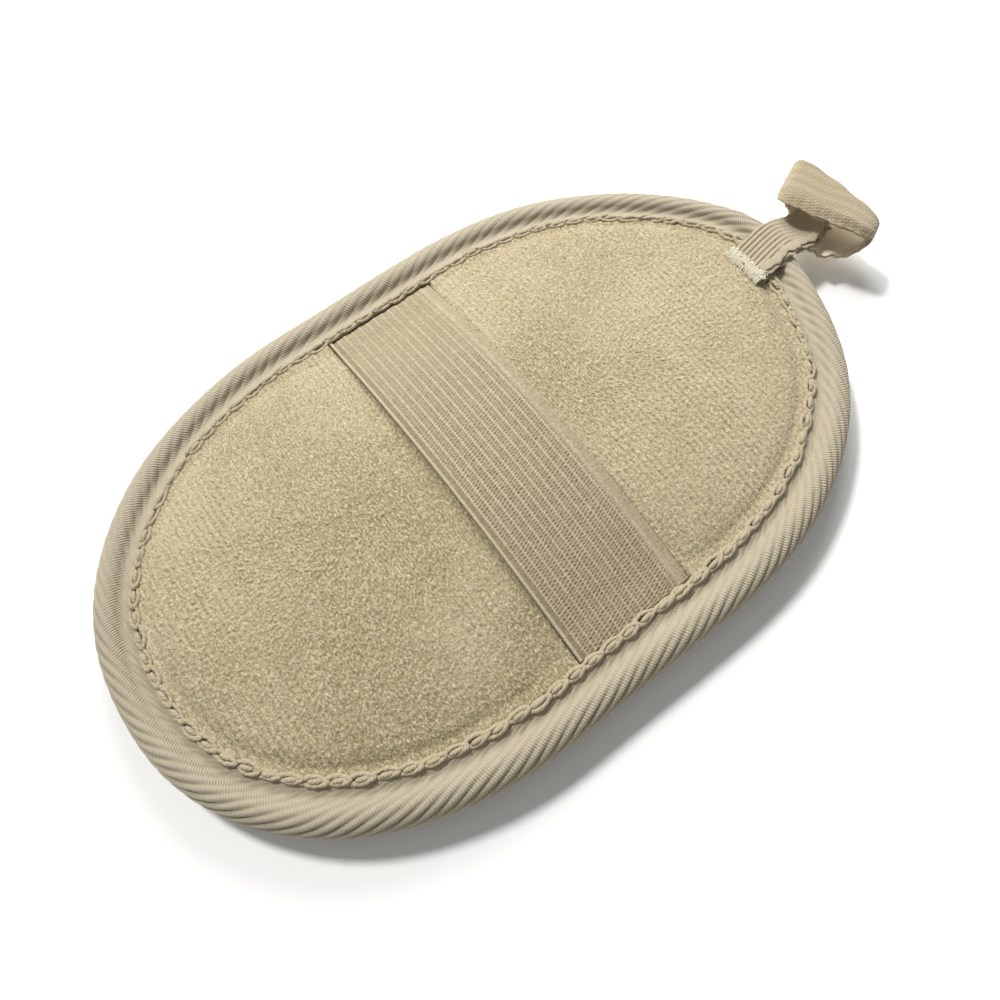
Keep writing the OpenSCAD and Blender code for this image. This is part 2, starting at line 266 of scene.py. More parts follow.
class Mat:
    """A node tree with short names for the nodes it is made of."""

    def __init__(self, name, roughness=0.92, sheen=0.25):
        self.m = bpy.data.materials.new(name)
        self.m.use_nodes = True
        self.t = self.m.node_tree
        self.n = self.t.nodes
        self.n.clear()
        self.out = self.n.new("ShaderNodeOutputMaterial")
        self.b = self.n.new("ShaderNodeBsdfPrincipled")
        self.t.links.new(self.b.outputs[0], self.out.inputs["Surface"])
        self.b.inputs["Roughness"].default_value = roughness
        self.b.inputs["Sheen Weight"].default_value = sheen
        self.b.inputs["Sheen Roughness"].default_value = 0.6
        self.b.inputs["Specular IOR Level"].default_value = 0.15
        self._geo = None

    def link(self, a, b):
        self.t.links.new(a, b)

    def coord(self):
        if self._geo is None:
            self._geo = self.n.new("ShaderNodeTexCoord").outputs["Object"]
        return self._geo

    def uv(self):
        return self.n.new("ShaderNodeUVMap").outputs["UV"]

    def attr(self, name):
        a = self.n.new("ShaderNodeAttribute")
        a.attribute_name = name
        return a.outputs["Fac"]

    def noise(self, scale, detail=3, rough=0.6, vec=None, w=None):
        x = self.n.new("ShaderNodeTexNoise")
        x.inputs["Scale"].default_value = scale
        x.inputs["Detail"].default_value = detail
        x.inputs["Roughness"].default_value = rough
        self.link(vec if vec is not None else self.coord(), x.inputs["Vector"])
        return x.outputs["Fac"]

    def mapped(self, vec, scale=(1, 1, 1), rot=(0, 0, 0)):
        x = self.n.new("ShaderNodeMapping")
        x.inputs["Scale"].default_value = scale
        x.inputs["Rotation"].default_value = rot
        self.link(vec, x.inputs["Vector"])
        return x.outputs["Vector"]

    def voronoi(self, scale, vec=None, feature="F1"):
        x = self.n.new("ShaderNodeTexVoronoi")
        x.feature = feature
        x.inputs["Scale"].default_value = scale
        self.link(vec if vec is not None else self.coord(), x.inputs["Vector"])
        return x.outputs["Distance"]

    def math(self, op, a, b=None, clamp=False):
        x = self.n.new("ShaderNodeMath")
        x.operation = op
        x.use_clamp = clamp
        for k, v in enumerate((a, b)):
            if v is None:
                continue
            if isinstance(v, (int, float)):
                x.inputs[k].default_value = v
            else:
                self.link(v, x.inputs[k])
        return x.outputs[0]

    def ramp(self, fac, stops):
        x = self.n.new("ShaderNodeValToRGB")
        e = x.color_ramp.elements
        while len(e) < len(stops):
            e.new(0.5)
        for el, (p, c) in zip(e, stops):
            el.position = p
            el.color = list(c) + [1.0] if len(c) == 3 else c
        self.link(fac, x.inputs["Fac"])
        return x.outputs["Color"]

    def mix(self, fac, a, b, mode="MIX"):
        x = self.n.new("ShaderNodeMix")
        x.data_type = "RGBA"
        x.blend_type = mode
        for k, v in ((0, fac), (6, a), (7, b)):
            if isinstance(v, (int, float)):
                x.inputs[k].default_value = v
            elif isinstance(v, (list, tuple)):
                x.inputs[k].default_value = list(v) + [1.0] if len(v) == 3 else v
            else:
                self.link(v, x.inputs[k])
        return x.outputs[2]

    def sep(self, vec):
        x = self.n.new("ShaderNodeSeparateXYZ")
        self.link(vec, x.inputs[0])
        return x.outputs[0], x.outputs[1], x.outputs[2]

    def bump(self, height, strength=0.5, distance=0.0002):
        x = self.n.new("ShaderNodeBump")
        x.inputs["Strength"].default_value = strength
        x.inputs["Distance"].default_value = distance
        self.link(height, x.inputs["Height"])
        self.link(x.outputs[0], self.b.inputs["Normal"])

    def color(self, c):
        self.link(c, self.b.inputs["Base Color"])
        return self.m


def terry_material():
    m = Mat("terry", 0.96, 0.22)
    pile = m.attr("pile")
    fine = m.noise(2600, 2, 0.6)
    soft = m.noise(48, 3, 0.55)
    wale = m.noise(420, 2, 0.5, m.mapped(m.coord(), (1, 0.22, 1)))
    loops = m.voronoi(2400, m.mapped(m.coord(), (1, 0.66, 0.8)))
    curl = m.noise(2500, 2, 0.6, m.mapped(m.coord(), (1, 0.5, 1)))
    gap = m.math("MULTIPLY", m.math("SUBTRACT", loops, 0.38), 2.2, True)
    # the pile attribute sets the tone: darker where the pile is low, as painted shade between the loops, and on the
    # near-left slope by the seam
    base = m.ramp(pile, [(0.0, srgb(146, 132, 99)), (0.35, srgb(164, 150, 117)), (0.75, srgb(180, 167, 134)), (1.0, srgb(192, 180, 148))])
    # painted shade: the gaps between the loops are darkened
    base = m.mix(m.math("MULTIPLY", gap, 0.75), base, srgb(120, 105, 74))
    # painted highlight: the curl noise lightens the loop tops, where the bump is highest
    base = m.mix(m.math("MULTIPLY", m.math("SUBTRACT", curl, 0.49), 3.4, True), base, srgb(214, 204, 174))
    base = m.mix(m.math("MULTIPLY", m.math("SUBTRACT", wale, 0.52), 1.1, True), base, srgb(158, 143, 109))
    base = m.mix(m.math("MULTIPLY", m.math("SUBTRACT", soft, 0.45), 0.9, True), base, srgb(192, 180, 148))
    cx, cy, _ = m.sep(m.coord())
    drift = m.noise(60, 2, 0.5)
    lines = m.math("SINE", m.math("ADD", m.math("MULTIPLY", cx, 2 * math.pi / 0.00148), m.math("MULTIPLY", drift, 6.0)))
    where = m.math("MULTIPLY", m.math("SUBTRACT", m.noise(30, 2, 0.5), 0.42), 4.0, True)
    stripe = m.math("MULTIPLY", m.math("ADD", m.math("MULTIPLY", lines, 0.5), 0.5), m.math("MULTIPLY", where, 0.42))
    base = m.mix(stripe, base, srgb(202, 191, 160))
    h = m.math("ADD", m.math("MULTIPLY", curl, 0.8), m.math("MULTIPLY", m.math("SUBTRACT", 1.0, loops), 0.9))
    h = m.math("ADD", h, m.math("MULTIPLY", fine, 0.4))
    m.bump(h, 0.72, 0.00022)
    return m.color(base)


def tape_material(name="cotton_tape", tone=(184, 171, 145), tone_dark=(112, 98, 74), tone_light=(202, 191, 167), pitch=0.56):
    """Twill cotton tape. The UV map is in millimetres: across the ribs, then along them."""
    m = Mat(name, 0.9, 0.2)
    u, v, _ = m.sep(m.uv())
    wob = m.noise(330, 3, 0.55)
    # fine threads run across each rib
    threads = m.math("SINE", m.math("ADD", m.math("MULTIPLY", v, 2 * math.pi / pitch), m.math("MULTIPLY", wob, 9.0)))
    threads = m.math("ADD", m.math("MULTIPLY", m.math("MULTIPLY", threads, m.attr("weave")), 0.5), 0.5)
    # the rib attribute carries painted shade in the rib gaps and grooves and painted highlight on the raised parts; the
    # ramp turns it into colour
    groove = m.attr("rib")
    fuzz = m.noise(3200, 3, 0.65)
    base = m.ramp(groove, [(0.0, srgb(*tone_dark)), (0.28, srgb(*[int(0.55 * a + 0.45 * b) for a, b in zip(tone, tone_dark)])), (0.6, srgb(*tone)), (1.0, srgb(*tone_light))])
    base = m.mix(m.math("MULTIPLY", m.math("SUBTRACT", 1.0, threads), 0.5), base, srgb(*[int(0.5 * a + 0.5 * b) for a, b in zip(tone, tone_dark)]))
    patch = m.noise(38, 3, 0.6)
    base = m.mix(m.math("MULTIPLY", m.math("SUBTRACT", patch, 0.45), 0.9, True), base, srgb(*tone_light))
    base = m.mix(m.math("MULTIPLY", m.math("SUBTRACT", fuzz, 0.45), 0.7, True), base, srgb(*tone_dark))
    # painted light: lightens the loop's lower band, which the upper band shades
    base = m.mix(m.attr("painted_light"), base, srgb(226, 212, 184))
    h = m.math("ADD", m.math("MULTIPLY", threads, 0.8), m.math("MULTIPLY", fuzz, 0.5))
    m.bump(h, 0.8, 0.0002)
    return m.color(base)


def elastic_material():
    m = Mat("elastic", 0.88, 0.15)
    hole = m.attr("rib")
    fine = m.noise(2800, 3, 0.65)
    yarn = m.noise(1300, 2, 0.5, m.mapped(m.coord(), (1, 2.2, 1)))
    # the rib attribute carries painted shade in the holes and furrow and painted highlight on the raised lines
    base = m.ramp(hole, [(0.0, srgb(96, 84, 60)), (0.3, srgb(134, 121, 94)), (0.6, srgb(155, 142, 116)), (1.0, srgb(192, 180, 152))])
    base = m.mix(m.math("MULTIPLY", m.math("SUBTRACT", fine, 0.42), 0.8, True), base, srgb(128, 113, 84))
    patch = m.noise(45, 2, 0.5)
    base = m.mix(m.math("MULTIPLY", m.math("SUBTRACT", patch, 0.45), 0.5, True), base, srgb(166, 154, 127))
    h = m.math("ADD", m.math("MULTIPLY", yarn, 0.5), m.math("MULTIPLY", fine, 0.4))
    m.bump(h, 0.45, 0.00015)
    return m.color(base)


def thread_material(name="thread", a=(170, 157, 130), b=(190, 179, 153), d=(142, 127, 100)):
    m = Mat(name, 0.9, 0.2)
    u, v, _ = m.sep(m.uv())
    ply = m.math("SINE", m.math("ADD", m.math("MULTIPLY", u, 2 * math.pi / 0.7), m.math("MULTIPLY", v, 2 * math.pi * 2)))
    ply = m.math("ADD", m.math("MULTIPLY", ply, 0.5), 0.5)
    fine = m.noise(3500, 3, 0.6)
    base = m.mix(m.math("MULTIPLY", ply, 0.6), srgb(*a), srgb(*b))
    base = m.mix(m.math("MULTIPLY", m.math("SUBTRACT", fine, 0.4), 1.2, True), base, srgb(*d))
    m.bump(m.math("ADD", m.math("MULTIPLY", ply, 0.45), fine), 0.6, 0.0002)
    return m.color(base)


def loofah_material():
    m = Mat("loofah", 0.75, 0.15)
    f = m.attr("tone")
    n1 = m.noise(900, 4, 0.65, m.mapped(m.coord(), (0.35, 1, 1)))
    n2 = m.noise(70, 3, 0.5)
    base = m.ramp(f, [(0.0, srgb(128, 102, 58)), (0.4, srgb(172, 148, 98)), (0.8, srgb(196, 175, 128)), (1.0, srgb(212, 194, 150))])
    base = m.mix(m.math("MULTIPLY", m.math("SUBTRACT", n1, 0.4), 1.2, True), base, srgb(160, 131, 80))
    base = m.mix(m.math("MULTIPLY", m.math("SUBTRACT", n2, 0.45), 0.8, True), base, srgb(206, 188, 144))
    m.bump(n1, 0.6, 0.0002)
    return m.color(base)


def foam_material():
    m = Mat("foam", 0.95, 0.1)
    v = m.voronoi(2200)
    n = m.noise(300, 3, 0.5)
    base = m.mix(m.math("MULTIPLY", v, 0.8, True), srgb(214, 206, 176), srgb(236, 230, 206))
    base = m.mix(m.math("MULTIPLY", n, 0.3), base, srgb(205, 196, 164))
    m.bump(v, 0.6, 0.0003)
    return m.color(base)


M_TERRY = terry_material()
M_TAPE = tape_material(tone=(176, 166, 142), tone_dark=(110, 98, 76), tone_light=(190, 181, 160))
M_LOOP = tape_material("loop_tape", tone=(174, 161, 134), tone_dark=(112, 95, 70), tone_light=(192, 181, 156), pitch=0.62)
M_ELASTIC = elastic_material()
M_THREAD = thread_material()
M_BARTACK = thread_material("bartack_thread", (206, 199, 177), (214, 208, 188), (194, 186, 162))
M_LOOFAH = loofah_material()
M_FOAM = foam_material()

# ---------------------------------------------------------------- the puffed face, by cloth simulation
SEAM_D = 10.0


def crown_guess(x, y):
    d = depth(x, y)
    f = np.clip((d - 15) / 42.4, 0, 1)
    return np.where(d < 15, 9.3 + 2.5 * smooth(d, 9.5, 15.5), 11.8 + 4.2 * (1 - (1 - f) ** 2))


def inflate():
    """A flat oval bag, held round its seam and along its underside, blown up. Returns the x and y stations of a grid
    and the heights over it.
    """
    n, rings = 112, 15
    p, nrm, _, _ = outline(n)
    co = []
    for k in range(rings):
        f = k / rings
        e = p - nrm * (SEAM_D + 0.2)
        spine = np.stack([np.clip(p[:, 0], -1e9, 1e9) * 0.36, np.zeros(n)], 1)
        q = e * (1 - f) + spine * f
        co.append(np.concatenate([q, np.full((n, 1), 9.3)], 1))
    top = np.concatenate(co)
    half = n // 2
    faces = [ring_grid(rings, n, wrap_u=False)]
    last = (rings - 1) * n
    strip = [[last + i, last + (n - i) % n, last + n - i - 1, last + i + 1] for i in range(1, half - 1)]
    ends = [[last, last + n - 1, last + 1], [last + half, last + half - 1, last + half + 1]]
    low = top[:n].copy()
    low[:, 2] = 8.3
    base = len(top)
    mid = np.array([[0, 0, 8.3]])
    co = np.concatenate([top, low, mid])
    side = [[i, (i + 1) % n, base + (i + 1) % n, base + i] for i in range(n)]
    floor = [[base + i, base + (i + 1) % n, base + n] for i in range(n)]
    ob = new_object("sim_pad", co, [faces[0], np.array(strip), np.array(ends), np.array(side), np.array(floor)])
    bm_flip(ob)
    pins = ob.vertex_groups.new(name="held")
    pins.add([int(i) for i in list(range(n)) + list(range(base, base + n + 1))], 1.0, "REPLACE")
    c = ob.modifiers.new("cloth", "CLOTH")
    st = c.settings
    st.quality = 6
    st.mass = 0.2
    st.tension_stiffness = 12
    st.compression_stiffness = 12
    st.shear_stiffness = 6
    st.bending_stiffness = 0.6
    st.vertex_group_mass = "held"
    st.use_pressure = True
    st.uniform_pressure_force = 3.2
    st.shrink_min = -0.02
    st.effector_weights.gravity = 0.0
    c.collision_settings.use_self_collision = False
    c.collision_settings.use_collision = False
    scene.frame_start, scene.frame_end = 1, 24
    for k in range(1, 23):
        scene.frame_set(k)
    deps = bpy.context.evaluated_depsgraph_get()
    ev = ob.evaluated_get(deps)
    me = bpy.data.meshes.new_from_object(ev)
    out = np.zeros(len(me.vertices) * 3)
    me.vertices.foreach_get("co", out)
    out = out.reshape(-1, 3) / MM
    ob.modifiers.clear()
    ob.data = me
    sub = ob.modifiers.new("sub", "SUBSURF")
    sub.levels = 2
    scene.frame_set(1)
    deps = bpy.context.evaluated_depsgraph_get()
    fine = bpy.data.meshes.new_from_object(ob.evaluated_get(deps))
    v = np.zeros(len(fine.vertices) * 3)
    fine.vertices.foreach_get("co", v)
    tree = BVHTree.FromPolygons([tuple(q) for q in v.reshape(-1, 3)], [tuple(f.vertices) for f in fine.polygons])
    peak = v.reshape(-1, 3)[:, 2].max() / MM
    print("inflated crown", round(float(peak), 2))
    bpy.data.objects.remove(ob)
    gx = np.arange(-86, 86.1, 1.0)
    gy = np.arange(-54, 54.1, 1.0)
    grid = np.full((len(gy), len(gx)), np.nan)
    for j, y in enumerate(gy):
        for i, x in enumerate(gx):
            hit = tree.ray_cast(Vector((x * MM, y * MM, 0.2)), Vector((0, 0, -1)))
            if hit[0] is not None:
                grid[j, i] = hit[0].z / MM
    X, Y = np.meshgrid(gx, gy)
    outside = np.isnan(grid) | (depth(X, Y) < SEAM_D)
    scale = (16.1 - 9.3) / max(peak - 9.3, 0.5)
    grid = 9.3 + (grid - 9.3) * scale
    grid[outside] = 9.3
    return gx, gy, grid


def bm_flip(ob):
    import bmesh
    bm = bmesh.new()
    bm.from_mesh(ob.data)
    bmesh.ops.recalc_face_normals(bm, faces=bm.faces)
    bm.to_mesh(ob.data)
    bm.free()


gx, gy, CROWN = inflate()


def sample(grid, x0, y0, step, x, y):
    u = np.clip((x - x0) / step, 0, grid.shape[1] - 1.001)
    v = np.clip((y - y0) / step, 0, grid.shape[0] - 1.001)
    i, j = u.astype(int), v.astype(int)
    fu, fv = u - i, v - j
    return ((grid[j, i] * (1 - fu) + grid[j, i + 1] * fu) * (1 - fv)
            + (grid[j + 1, i] * (1 - fu) + grid[j + 1, i + 1] * fu) * fv)


def soften(g, times):
    for _ in range(times):
        p = np.pad(g, 1, mode="edge")
        g = (p[:-2, 1:-1] + p[2:, 1:-1] + p[1:-1, :-2] + p[1:-1, 2:] + 4 * g) / 8
    return g


CROWN = soften(CROWN, 3)


def pad_z(x, y):
    """Height of the terry face before its pile: the blown-up crown, held down under the strap."""
    z = 0.55 * sample(CROWN, gx[0], gy[0], 1.0, x, y) + 0.45 * crown_guess(x, y)
    d = depth(x, y)
    z = np.where(d < 15, np.maximum(z, 9.35 + 1.12 * smooth(d, 10.0, 10.5)), z)
    z = np.where(d < 10.1, np.minimum(z, 9.35), z)
    under = arc_z(y) - 0.42
    across = np.abs(x - STRAP_X)
    side = 3.0 - 2.5 * smooth(np.abs(y), 28, 43)
    press = 1 - smooth(across - STRAP_HW, -0.2, side)
    low = np.minimum(z, under + 0.85 * smooth(across - STRAP_HW, 0.02, 0.5))
    z = z * (1 - press) + low * press
    inside = across < STRAP_HW + 0.2
    foam = crown_guess(x, y) - 2.09
    z = np.where(inside | (d < 12.5), z, np.maximum(z, foam + 0.95))
    return np.where(inside, np.minimum(z, under), z)


def pull(co):
    """The loop's seam holds the edge out a little, mostly at its +Y side."""
    co = np.array(co, float)
    x, y = co[:, 0], co[:, 1]
    amount = np.interp(y, [-36, -24, -15, -6, 0, 5, 9, 14, 22, 32, 44], [0, 0.3, 0.8, 1.9, 3.0, 4.2, 4.7, 4.5, 2.8, 1.0, 0])
    amount = amount * smooth(x, 44, 84)
    co[:, 0] = x + amount * 0.985
    co[:, 1] = y + amount * 0.12
    return co


# ---------------------------------------------------------------- terry pile
RES = 0.125
px0, py0 = -84.0, -52.0
W, H = int(168 / RES), int(104 / RES)
pile = np.zeros((H, W), np.float32)
cols = np.arange(-84, 84, 0.74)
rows = np.arange(-52, 52, 0.70)
CXs, CYs = np.meshgrid(cols, rows)
lx = (CXs + rng.normal(0, 0.10, CXs.shape)).ravel()
ly = (CYs + (np.arange(len(cols)) % 2)[None, :] * 0.35 + rng.normal(0, 0.17, CXs.shape)).ravel()
keep = depth(lx, ly) > 9.5
lx, ly = lx[keep], ly[keep]
cnt = len(lx)
ang = rng.normal(0.1, 0.38, cnt)
ra = rng.uniform(0.36, 0.58, cnt)
rb = rng.uniform(0.22, 0.34, cnt)
hh = rng.uniform(0.35, 1.0, cnt) * (1 + 0.22 * (0.65 + 0.35 * np.sin(0.11 * lx + 0.5) * np.cos(0.09 * ly)) * np.sin(2 * np.pi * lx / 1.48 + 0.5 * np.sin(ly / 9)))
k = 5
for oy in range(-k, k + 1):
    for ox in range(-k, k + 1):
        ix = np.round((lx - px0) / RES).astype(int) + ox
        iy = np.round((ly - py0) / RES).astype(int) + oy
        dx = ix * RES + px0 - lx
        dy = iy * RES + py0 - ly
        a = (dy * np.cos(ang) + dx * np.sin(ang)) / ra
        b = (dx * np.cos(ang) - dy * np.sin(ang)) / rb
        r2 = a * a + b * b
        val = hh * np.sqrt(np.clip(1 - r2, 0, 1))
        ok = (ix >= 0) & (ix < W) & (iy >= 0) & (iy < H) & (val > 0)
        np.maximum.at(pile, (iy[ok], ix[ok]), val[ok].astype(np.float32))
pile = soften(pile.astype(np.float64), 1)
lumps = value_noise((H, W), 22, 3) * 0.5 + value_noise((H, W), 60, 4) * 0.5


def pile_at(x, y):
    return sample(pile, px0, py0, RES, x, y), sample(lumps, px0, py0, RES, x, y)


def terry():
    n, inner = 1240, 128
    p, nrm, _, _ = outline(n)
    ds = np.concatenate([[4.6, 6.5, 8.5, 9.6, 10.0, 10.2, 10.4, 10.6, 10.8], np.arange(11.08, 15.0, 0.34)])
    rings = [p - nrm * d for d in ds]
    e = p - nrm * 15.0
    xs = np.sign(p[:, 0]) * np.minimum(np.abs(p[:, 0]), ST) + np.sign(p[:, 0]) * np.maximum(np.abs(p[:, 0]) - ST, 0) / A * 17
    spine = np.stack([xs, np.zeros(n)], 1)
    fs = np.arange(inner) / inner
    for f in fs:
        rings.append(e * (1 - f) + spine * f)
    R = np.array(rings)
    x, y = R[..., 0], R[..., 1]
    z = pad_z(x, y)
    pl, lump = pile_at(x, y)
    d = depth(x, y)
    covered = 1 - smooth(np.abs(x - STRAP_X), STRAP_HW - 0.8, STRAP_HW - 0.1)
    away = smooth(y, -5, 46)
    amp = 0.34 * smooth(d, 10.0, 11.0) * (1 - 0.35 * covered) * (1 - 0.30 * away)
    z = z + (pl - 0.35) * amp + (lump - 0.5) * 0.22 * smooth(d, 11, 16) * (1 - covered)
    x = x + 0.05 * (pl - 0.4) * np.cos(7 * y)
    top = np.stack([x, y, z], -1).reshape(-1, 3)
    nr = len(rings)
    last = (nr - 1) * n
    half = n // 2
    i = np.arange(1, half - 1)
    strip = np.stack([last + i, last + n - i, last + n - i - 1, last + i + 1], 1)[:, ::-1]
    ends = np.array([[last, last + n - 1, last + 1], [last + half, last + half - 1, last + half + 1]])[:, ::-1]
    # underside of the cloth, coarse rings of the same stations
    low_rings = []
    for q in (p - nrm * 4.6, p - nrm * 11.5, e * 0.7 + spine * 0.3, e * 0.3 + spine * 0.7):
        zz = np.maximum(7.25, np.minimum(pad_z(q[:, 0], q[:, 1]) - 1.9, 14.2))
        low_rings.append(np.stack([q[:, 0], q[:, 1], zz], 1))
    low = np.concatenate(low_rings)
    base = len(top)
    lg = ring_grid(4, n, base, wrap_u=False)[:, ::-1]
    ll = base + 3 * n
    lstrip = np.stack([ll + i + 1, ll + n - i - 1, ll + n - i, ll + i], 1)[:, ::-1]
    lends = np.array([[ll + 1, ll + n - 1, ll], [ll + half + 1, ll + half - 1, ll + half]])[:, ::-1]
    j = np.arange(n)
    side = np.stack([base + j, base + (j + 1) % n, (j + 1) % n, j], 1)
    co = np.concatenate([top, low])
    # pile tone for the colour: painted shade where the pile is low
    shade = np.clip(pl * (0.8 + 0.4 * lump), 0, 1)
    # the painted pile shade is weaker towards the far (+Y) side; painted shade: darker in a band inside the near-left
    # seam, where the slope faces away from the key light
    shade = 0.62 + (shade - 0.62) * (1 - 0.45 * away) - 0.24 * (1 - smooth(d, 11, 27)) * smooth(-y - 0.25 * x, -2, 34)
    shade = np.clip(shade, 0, 1)
    at = np.concatenate([shade.ravel(), np.full(len(low), 0.4)])
    ob = new_object("terry_back_panel_cloth", pull(co), [ring_grid(nr, n, wrap_u=False), strip, ends, lg, lstrip, lends, side], attrs={"pile": at})
    ob.data.materials.append(M_TERRY)
    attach(ob, "pad")
    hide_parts("terry_back_panel")
    return ob


# ---------------------------------------------------------------- edge binding
def spline(points, m):
    """m points evenly spaced along a smooth curve through the points given."""
    q = np.asarray(points, float)
    t = np.concatenate([[0], np.cumsum(np.linalg.norm(np.diff(q, axis=0), axis=1))])
    # Catmull-Rom
    dense = []
    for i in range(len(q) - 1):
        p0 = q[max(i - 1, 0)]
        p1, p2 = q[i], q[i + 1]
        p3 = q[min(i + 2, len(q) - 1)]
        for s in np.linspace(0, 1, 24, endpoint=False):
            dense.append(0.5 * ((2 * p1) + (-p0 + p2) * s + (2 * p0 - 5 * p1 + 4 * p2 - p3) * s * s + (-p0 + 3 * p1 - 3 * p2 + p3) * s ** 3))
    dense.append(q[-1])
    dense = np.array(dense)
    d = np.concatenate([[0], np.cumsum(np.linalg.norm(np.diff(dense, axis=0), axis=1))])
    at = np.linspace(0, d[-1], m)
    return np.stack([np.interp(at, d, dense[:, k]) for k in range(q.shape[1])], 1), d[-1]


TAPE_OUT = [[10.4, 9.75], [10.3, 10.05], [9.4, 10.3], [8.6, 10.1], [7.8, 9.72], [6.9, 9.62], [6.15, 10.05], [5.5, 10.75], [4.7, 11.2], [3.6, 11.35],
            [2.0, 10.8], [0.8, 9.4], [0.1, 7.5], [0, 5.7], [0.1, 4.0], [0.8, 2.2], [2.0, 0.9],
            [3.5, 0.4], [5.2, 0.55], [7.4, 0.8], [9.4, 0.85], [10.3, 0.95], [10.4, 1.3]]
TAPE_IN = [[10.3, 1.75], [7.2, 1.8], [5.2, 1.5], [3.6, 1.35], [2.5, 1.8], [1.7, 2.8], [1.2, 4.2], [1.1, 5.7],
           [1.2, 7.3], [1.7, 8.8], [2.6, 9.7], [3.6, 10.1], [4.8, 9.8], [6.0, 9.3], [7.3, 9.2], [10.3, 9.3]]


def binding():
    n, m = 1640, 96
    p, nrm, s, total = outline(n)
    prof, length = spline(TAPE_OUT, m)
    tang = np.gradient(prof, axis=0)
    tang /= np.linalg.norm(tang, axis=1)[:, None]
    normal = np.stack([-tang[:, 1], tang[:, 0]], 1)   # in (d, z): outward is away from the tube's inside
    centre = np.array([5.5, 5.7])
    flip = np.sign(((prof - centre) * normal).sum(1))
    normal *= flip[:, None]
    v = np.linspace(0, length, m)
    ribs = round(total / 4.15)
    lean = 2.05
    wander = 0.22 * np.sin(s / total * 2 * np.pi * 9 + 1.0) + 0.16 * np.sin(s / total * 2 * np.pi * 23)
    phase = (s[:, None] / total * ribs + (lean * v[None, :]) * ribs / total) + wander[:, None] * 0.5
    w = np.abs(np.sin(np.pi * phase))
    rib = w ** 0.72
    # the ribs are flat where the stitches hold the tape down, and full on the roll
    full = (0.42 * smooth(v, 3.9, 5.2) + 0.58 * smooth(v, 6.6, 10.5)) * (1 - smooth(v, length - 6.4, length - 3.0))
    low = 1 - smooth(v, length - 9.0, length - 5.0)
    amp = 0.05 + 0.07 * smooth(v, length / 2, length) + 0.56 * full
    jitter = value_noise((n, m), 14, 11)
    jitter = jitter * (1 - smooth(s, total - 14, total))[:, None] + jitter[:1] * smooth(s, total - 14, total)[:, None]
    h = amp[None, :] * (rib - 0.75) * (0.85 + 0.3 * jitter) * (1 - 0.35 * smooth(p[:, 1], 5, 48))[:, None]
    # short strands of the folded edge, lying aslant between the stitches and the roll
    turns = round(total * 0.34 / 0.95)
    slant = value_noise((n, m), 9, 15)
    slant = slant * (1 - smooth(s, total - 14, total))[:, None] + slant[:1] * smooth(s, total - 14, total)[:, None]
    edge_phase = v[None, :] / 0.95 + s[:, None] / total * turns + 0.9 * slant
    edge_zone = (1 - smooth(v, 3.6, 4.6))[None, :]
    edge_lines = 0.13 * np.sin(2 * np.pi * edge_phase) * edge_zone * (0.35 + 0.9 * jitter)
    # fine yarns that cross the crest of the roll
    yarn = 0.025 * np.sin(2 * np.pi * (s[:, None] * 1.0 - 0.55 * v[None, :]) / (total / round(total / 0.9))) * (smooth(v, 4.6, 6.0) * (1 - smooth(v, 10, 13)))[None, :]
    h += edge_lines + yarn
    # stitches pull the tape down once each
    inset = np.concatenate([[0], np.cumsum(np.hypot(*(np.diff(p - nrm * 9.7, axis=0).T)))])
    inset /= inset[-1] * (1 + 1 / n)
    stitch = np.abs(np.sin(np.pi * inset * STITCHES))[:, None]
    h -= (0.22 * (1 - stitch) * np.exp(-((v[None, :] - 1.5) / 1.1) ** 2))
    taper = np.minimum(smooth(v, 0.0, 0.7), 1 - smooth(v, length - 0.7, length))
    h *= taper[None, :]
    swell = 0.25 * np.sin(s / total * 2 * np.pi * 5 + 0.6) + 0.18 * np.sin(s / total * 2 * np.pi * 13 + 2.0)
    # each rib starts as a small bump at the roll's inner fold
    h = h + (0.26 * (rib - 0.62)) * np.exp(-((v[None, :] - 4.1) / 0.75) ** 2)
    off = h + (swell[:, None] * 0.35) * full[None, :]
    dd = prof[None, :, 0] + normal[None, :, 0] * off
    zz = prof[None, :, 1] + normal[None, :, 1] * off
    dd = np.maximum(dd, -0.25)
    zz = np.maximum(zz, 0.12)
    outer = np.concatenate([p[:, None, :] - nrm[:, None, :] * dd[..., None], zz[..., None]], 2)
    tin = np.array(TAPE_IN)
    inner = np.concatenate([p[:, None, :] - nrm[:, None, :] * tin[None, :, 0, None], np.broadcast_to(tin[None, :, 1, None], (n, len(tin), 1))], 2)
    co = np.concatenate([outer, inner], 1).reshape(-1, 3)
    mt = m + len(tin)
    along = (s[:, None] * 0.87 - v[None, :] * 0.5)
    uv = np.zeros((n, mt, 2))
    uv[:, :m, 0] = phase * 2.0
    uv[:, :m, 1] = along
    at = np.full((n, mt), 0.5)
    back = smooth(p[:, 1], 5, 48)[:, None]
    # painted highlight on the crest of the roll, painted shade in the groove by the stitches
    crest = smooth(v, 4.9, 6.2) * (1 - smooth(v, 8.5, 11.5))
    groove = smooth(v, 1.6, 2.6) * (1 - smooth(v, 3.9, 5.0))
    plain = (0.70 + 0.06 * crest - 0.06 * groove)[None, :] + 0.15 * np.sin(2 * np.pi * edge_phase) * edge_zone
    low_rib = smooth(v, 3.9, 5.0)[None, :]
    # painted shade: the gaps between the ribs are darker than the rib tops
    at[:, :m] = np.clip((0.12 + 0.76 * rib) * full[None, :] + (plain + 0.16 * (rib - 0.6) * low_rib) * (1 - full[None, :]), 0, 1)
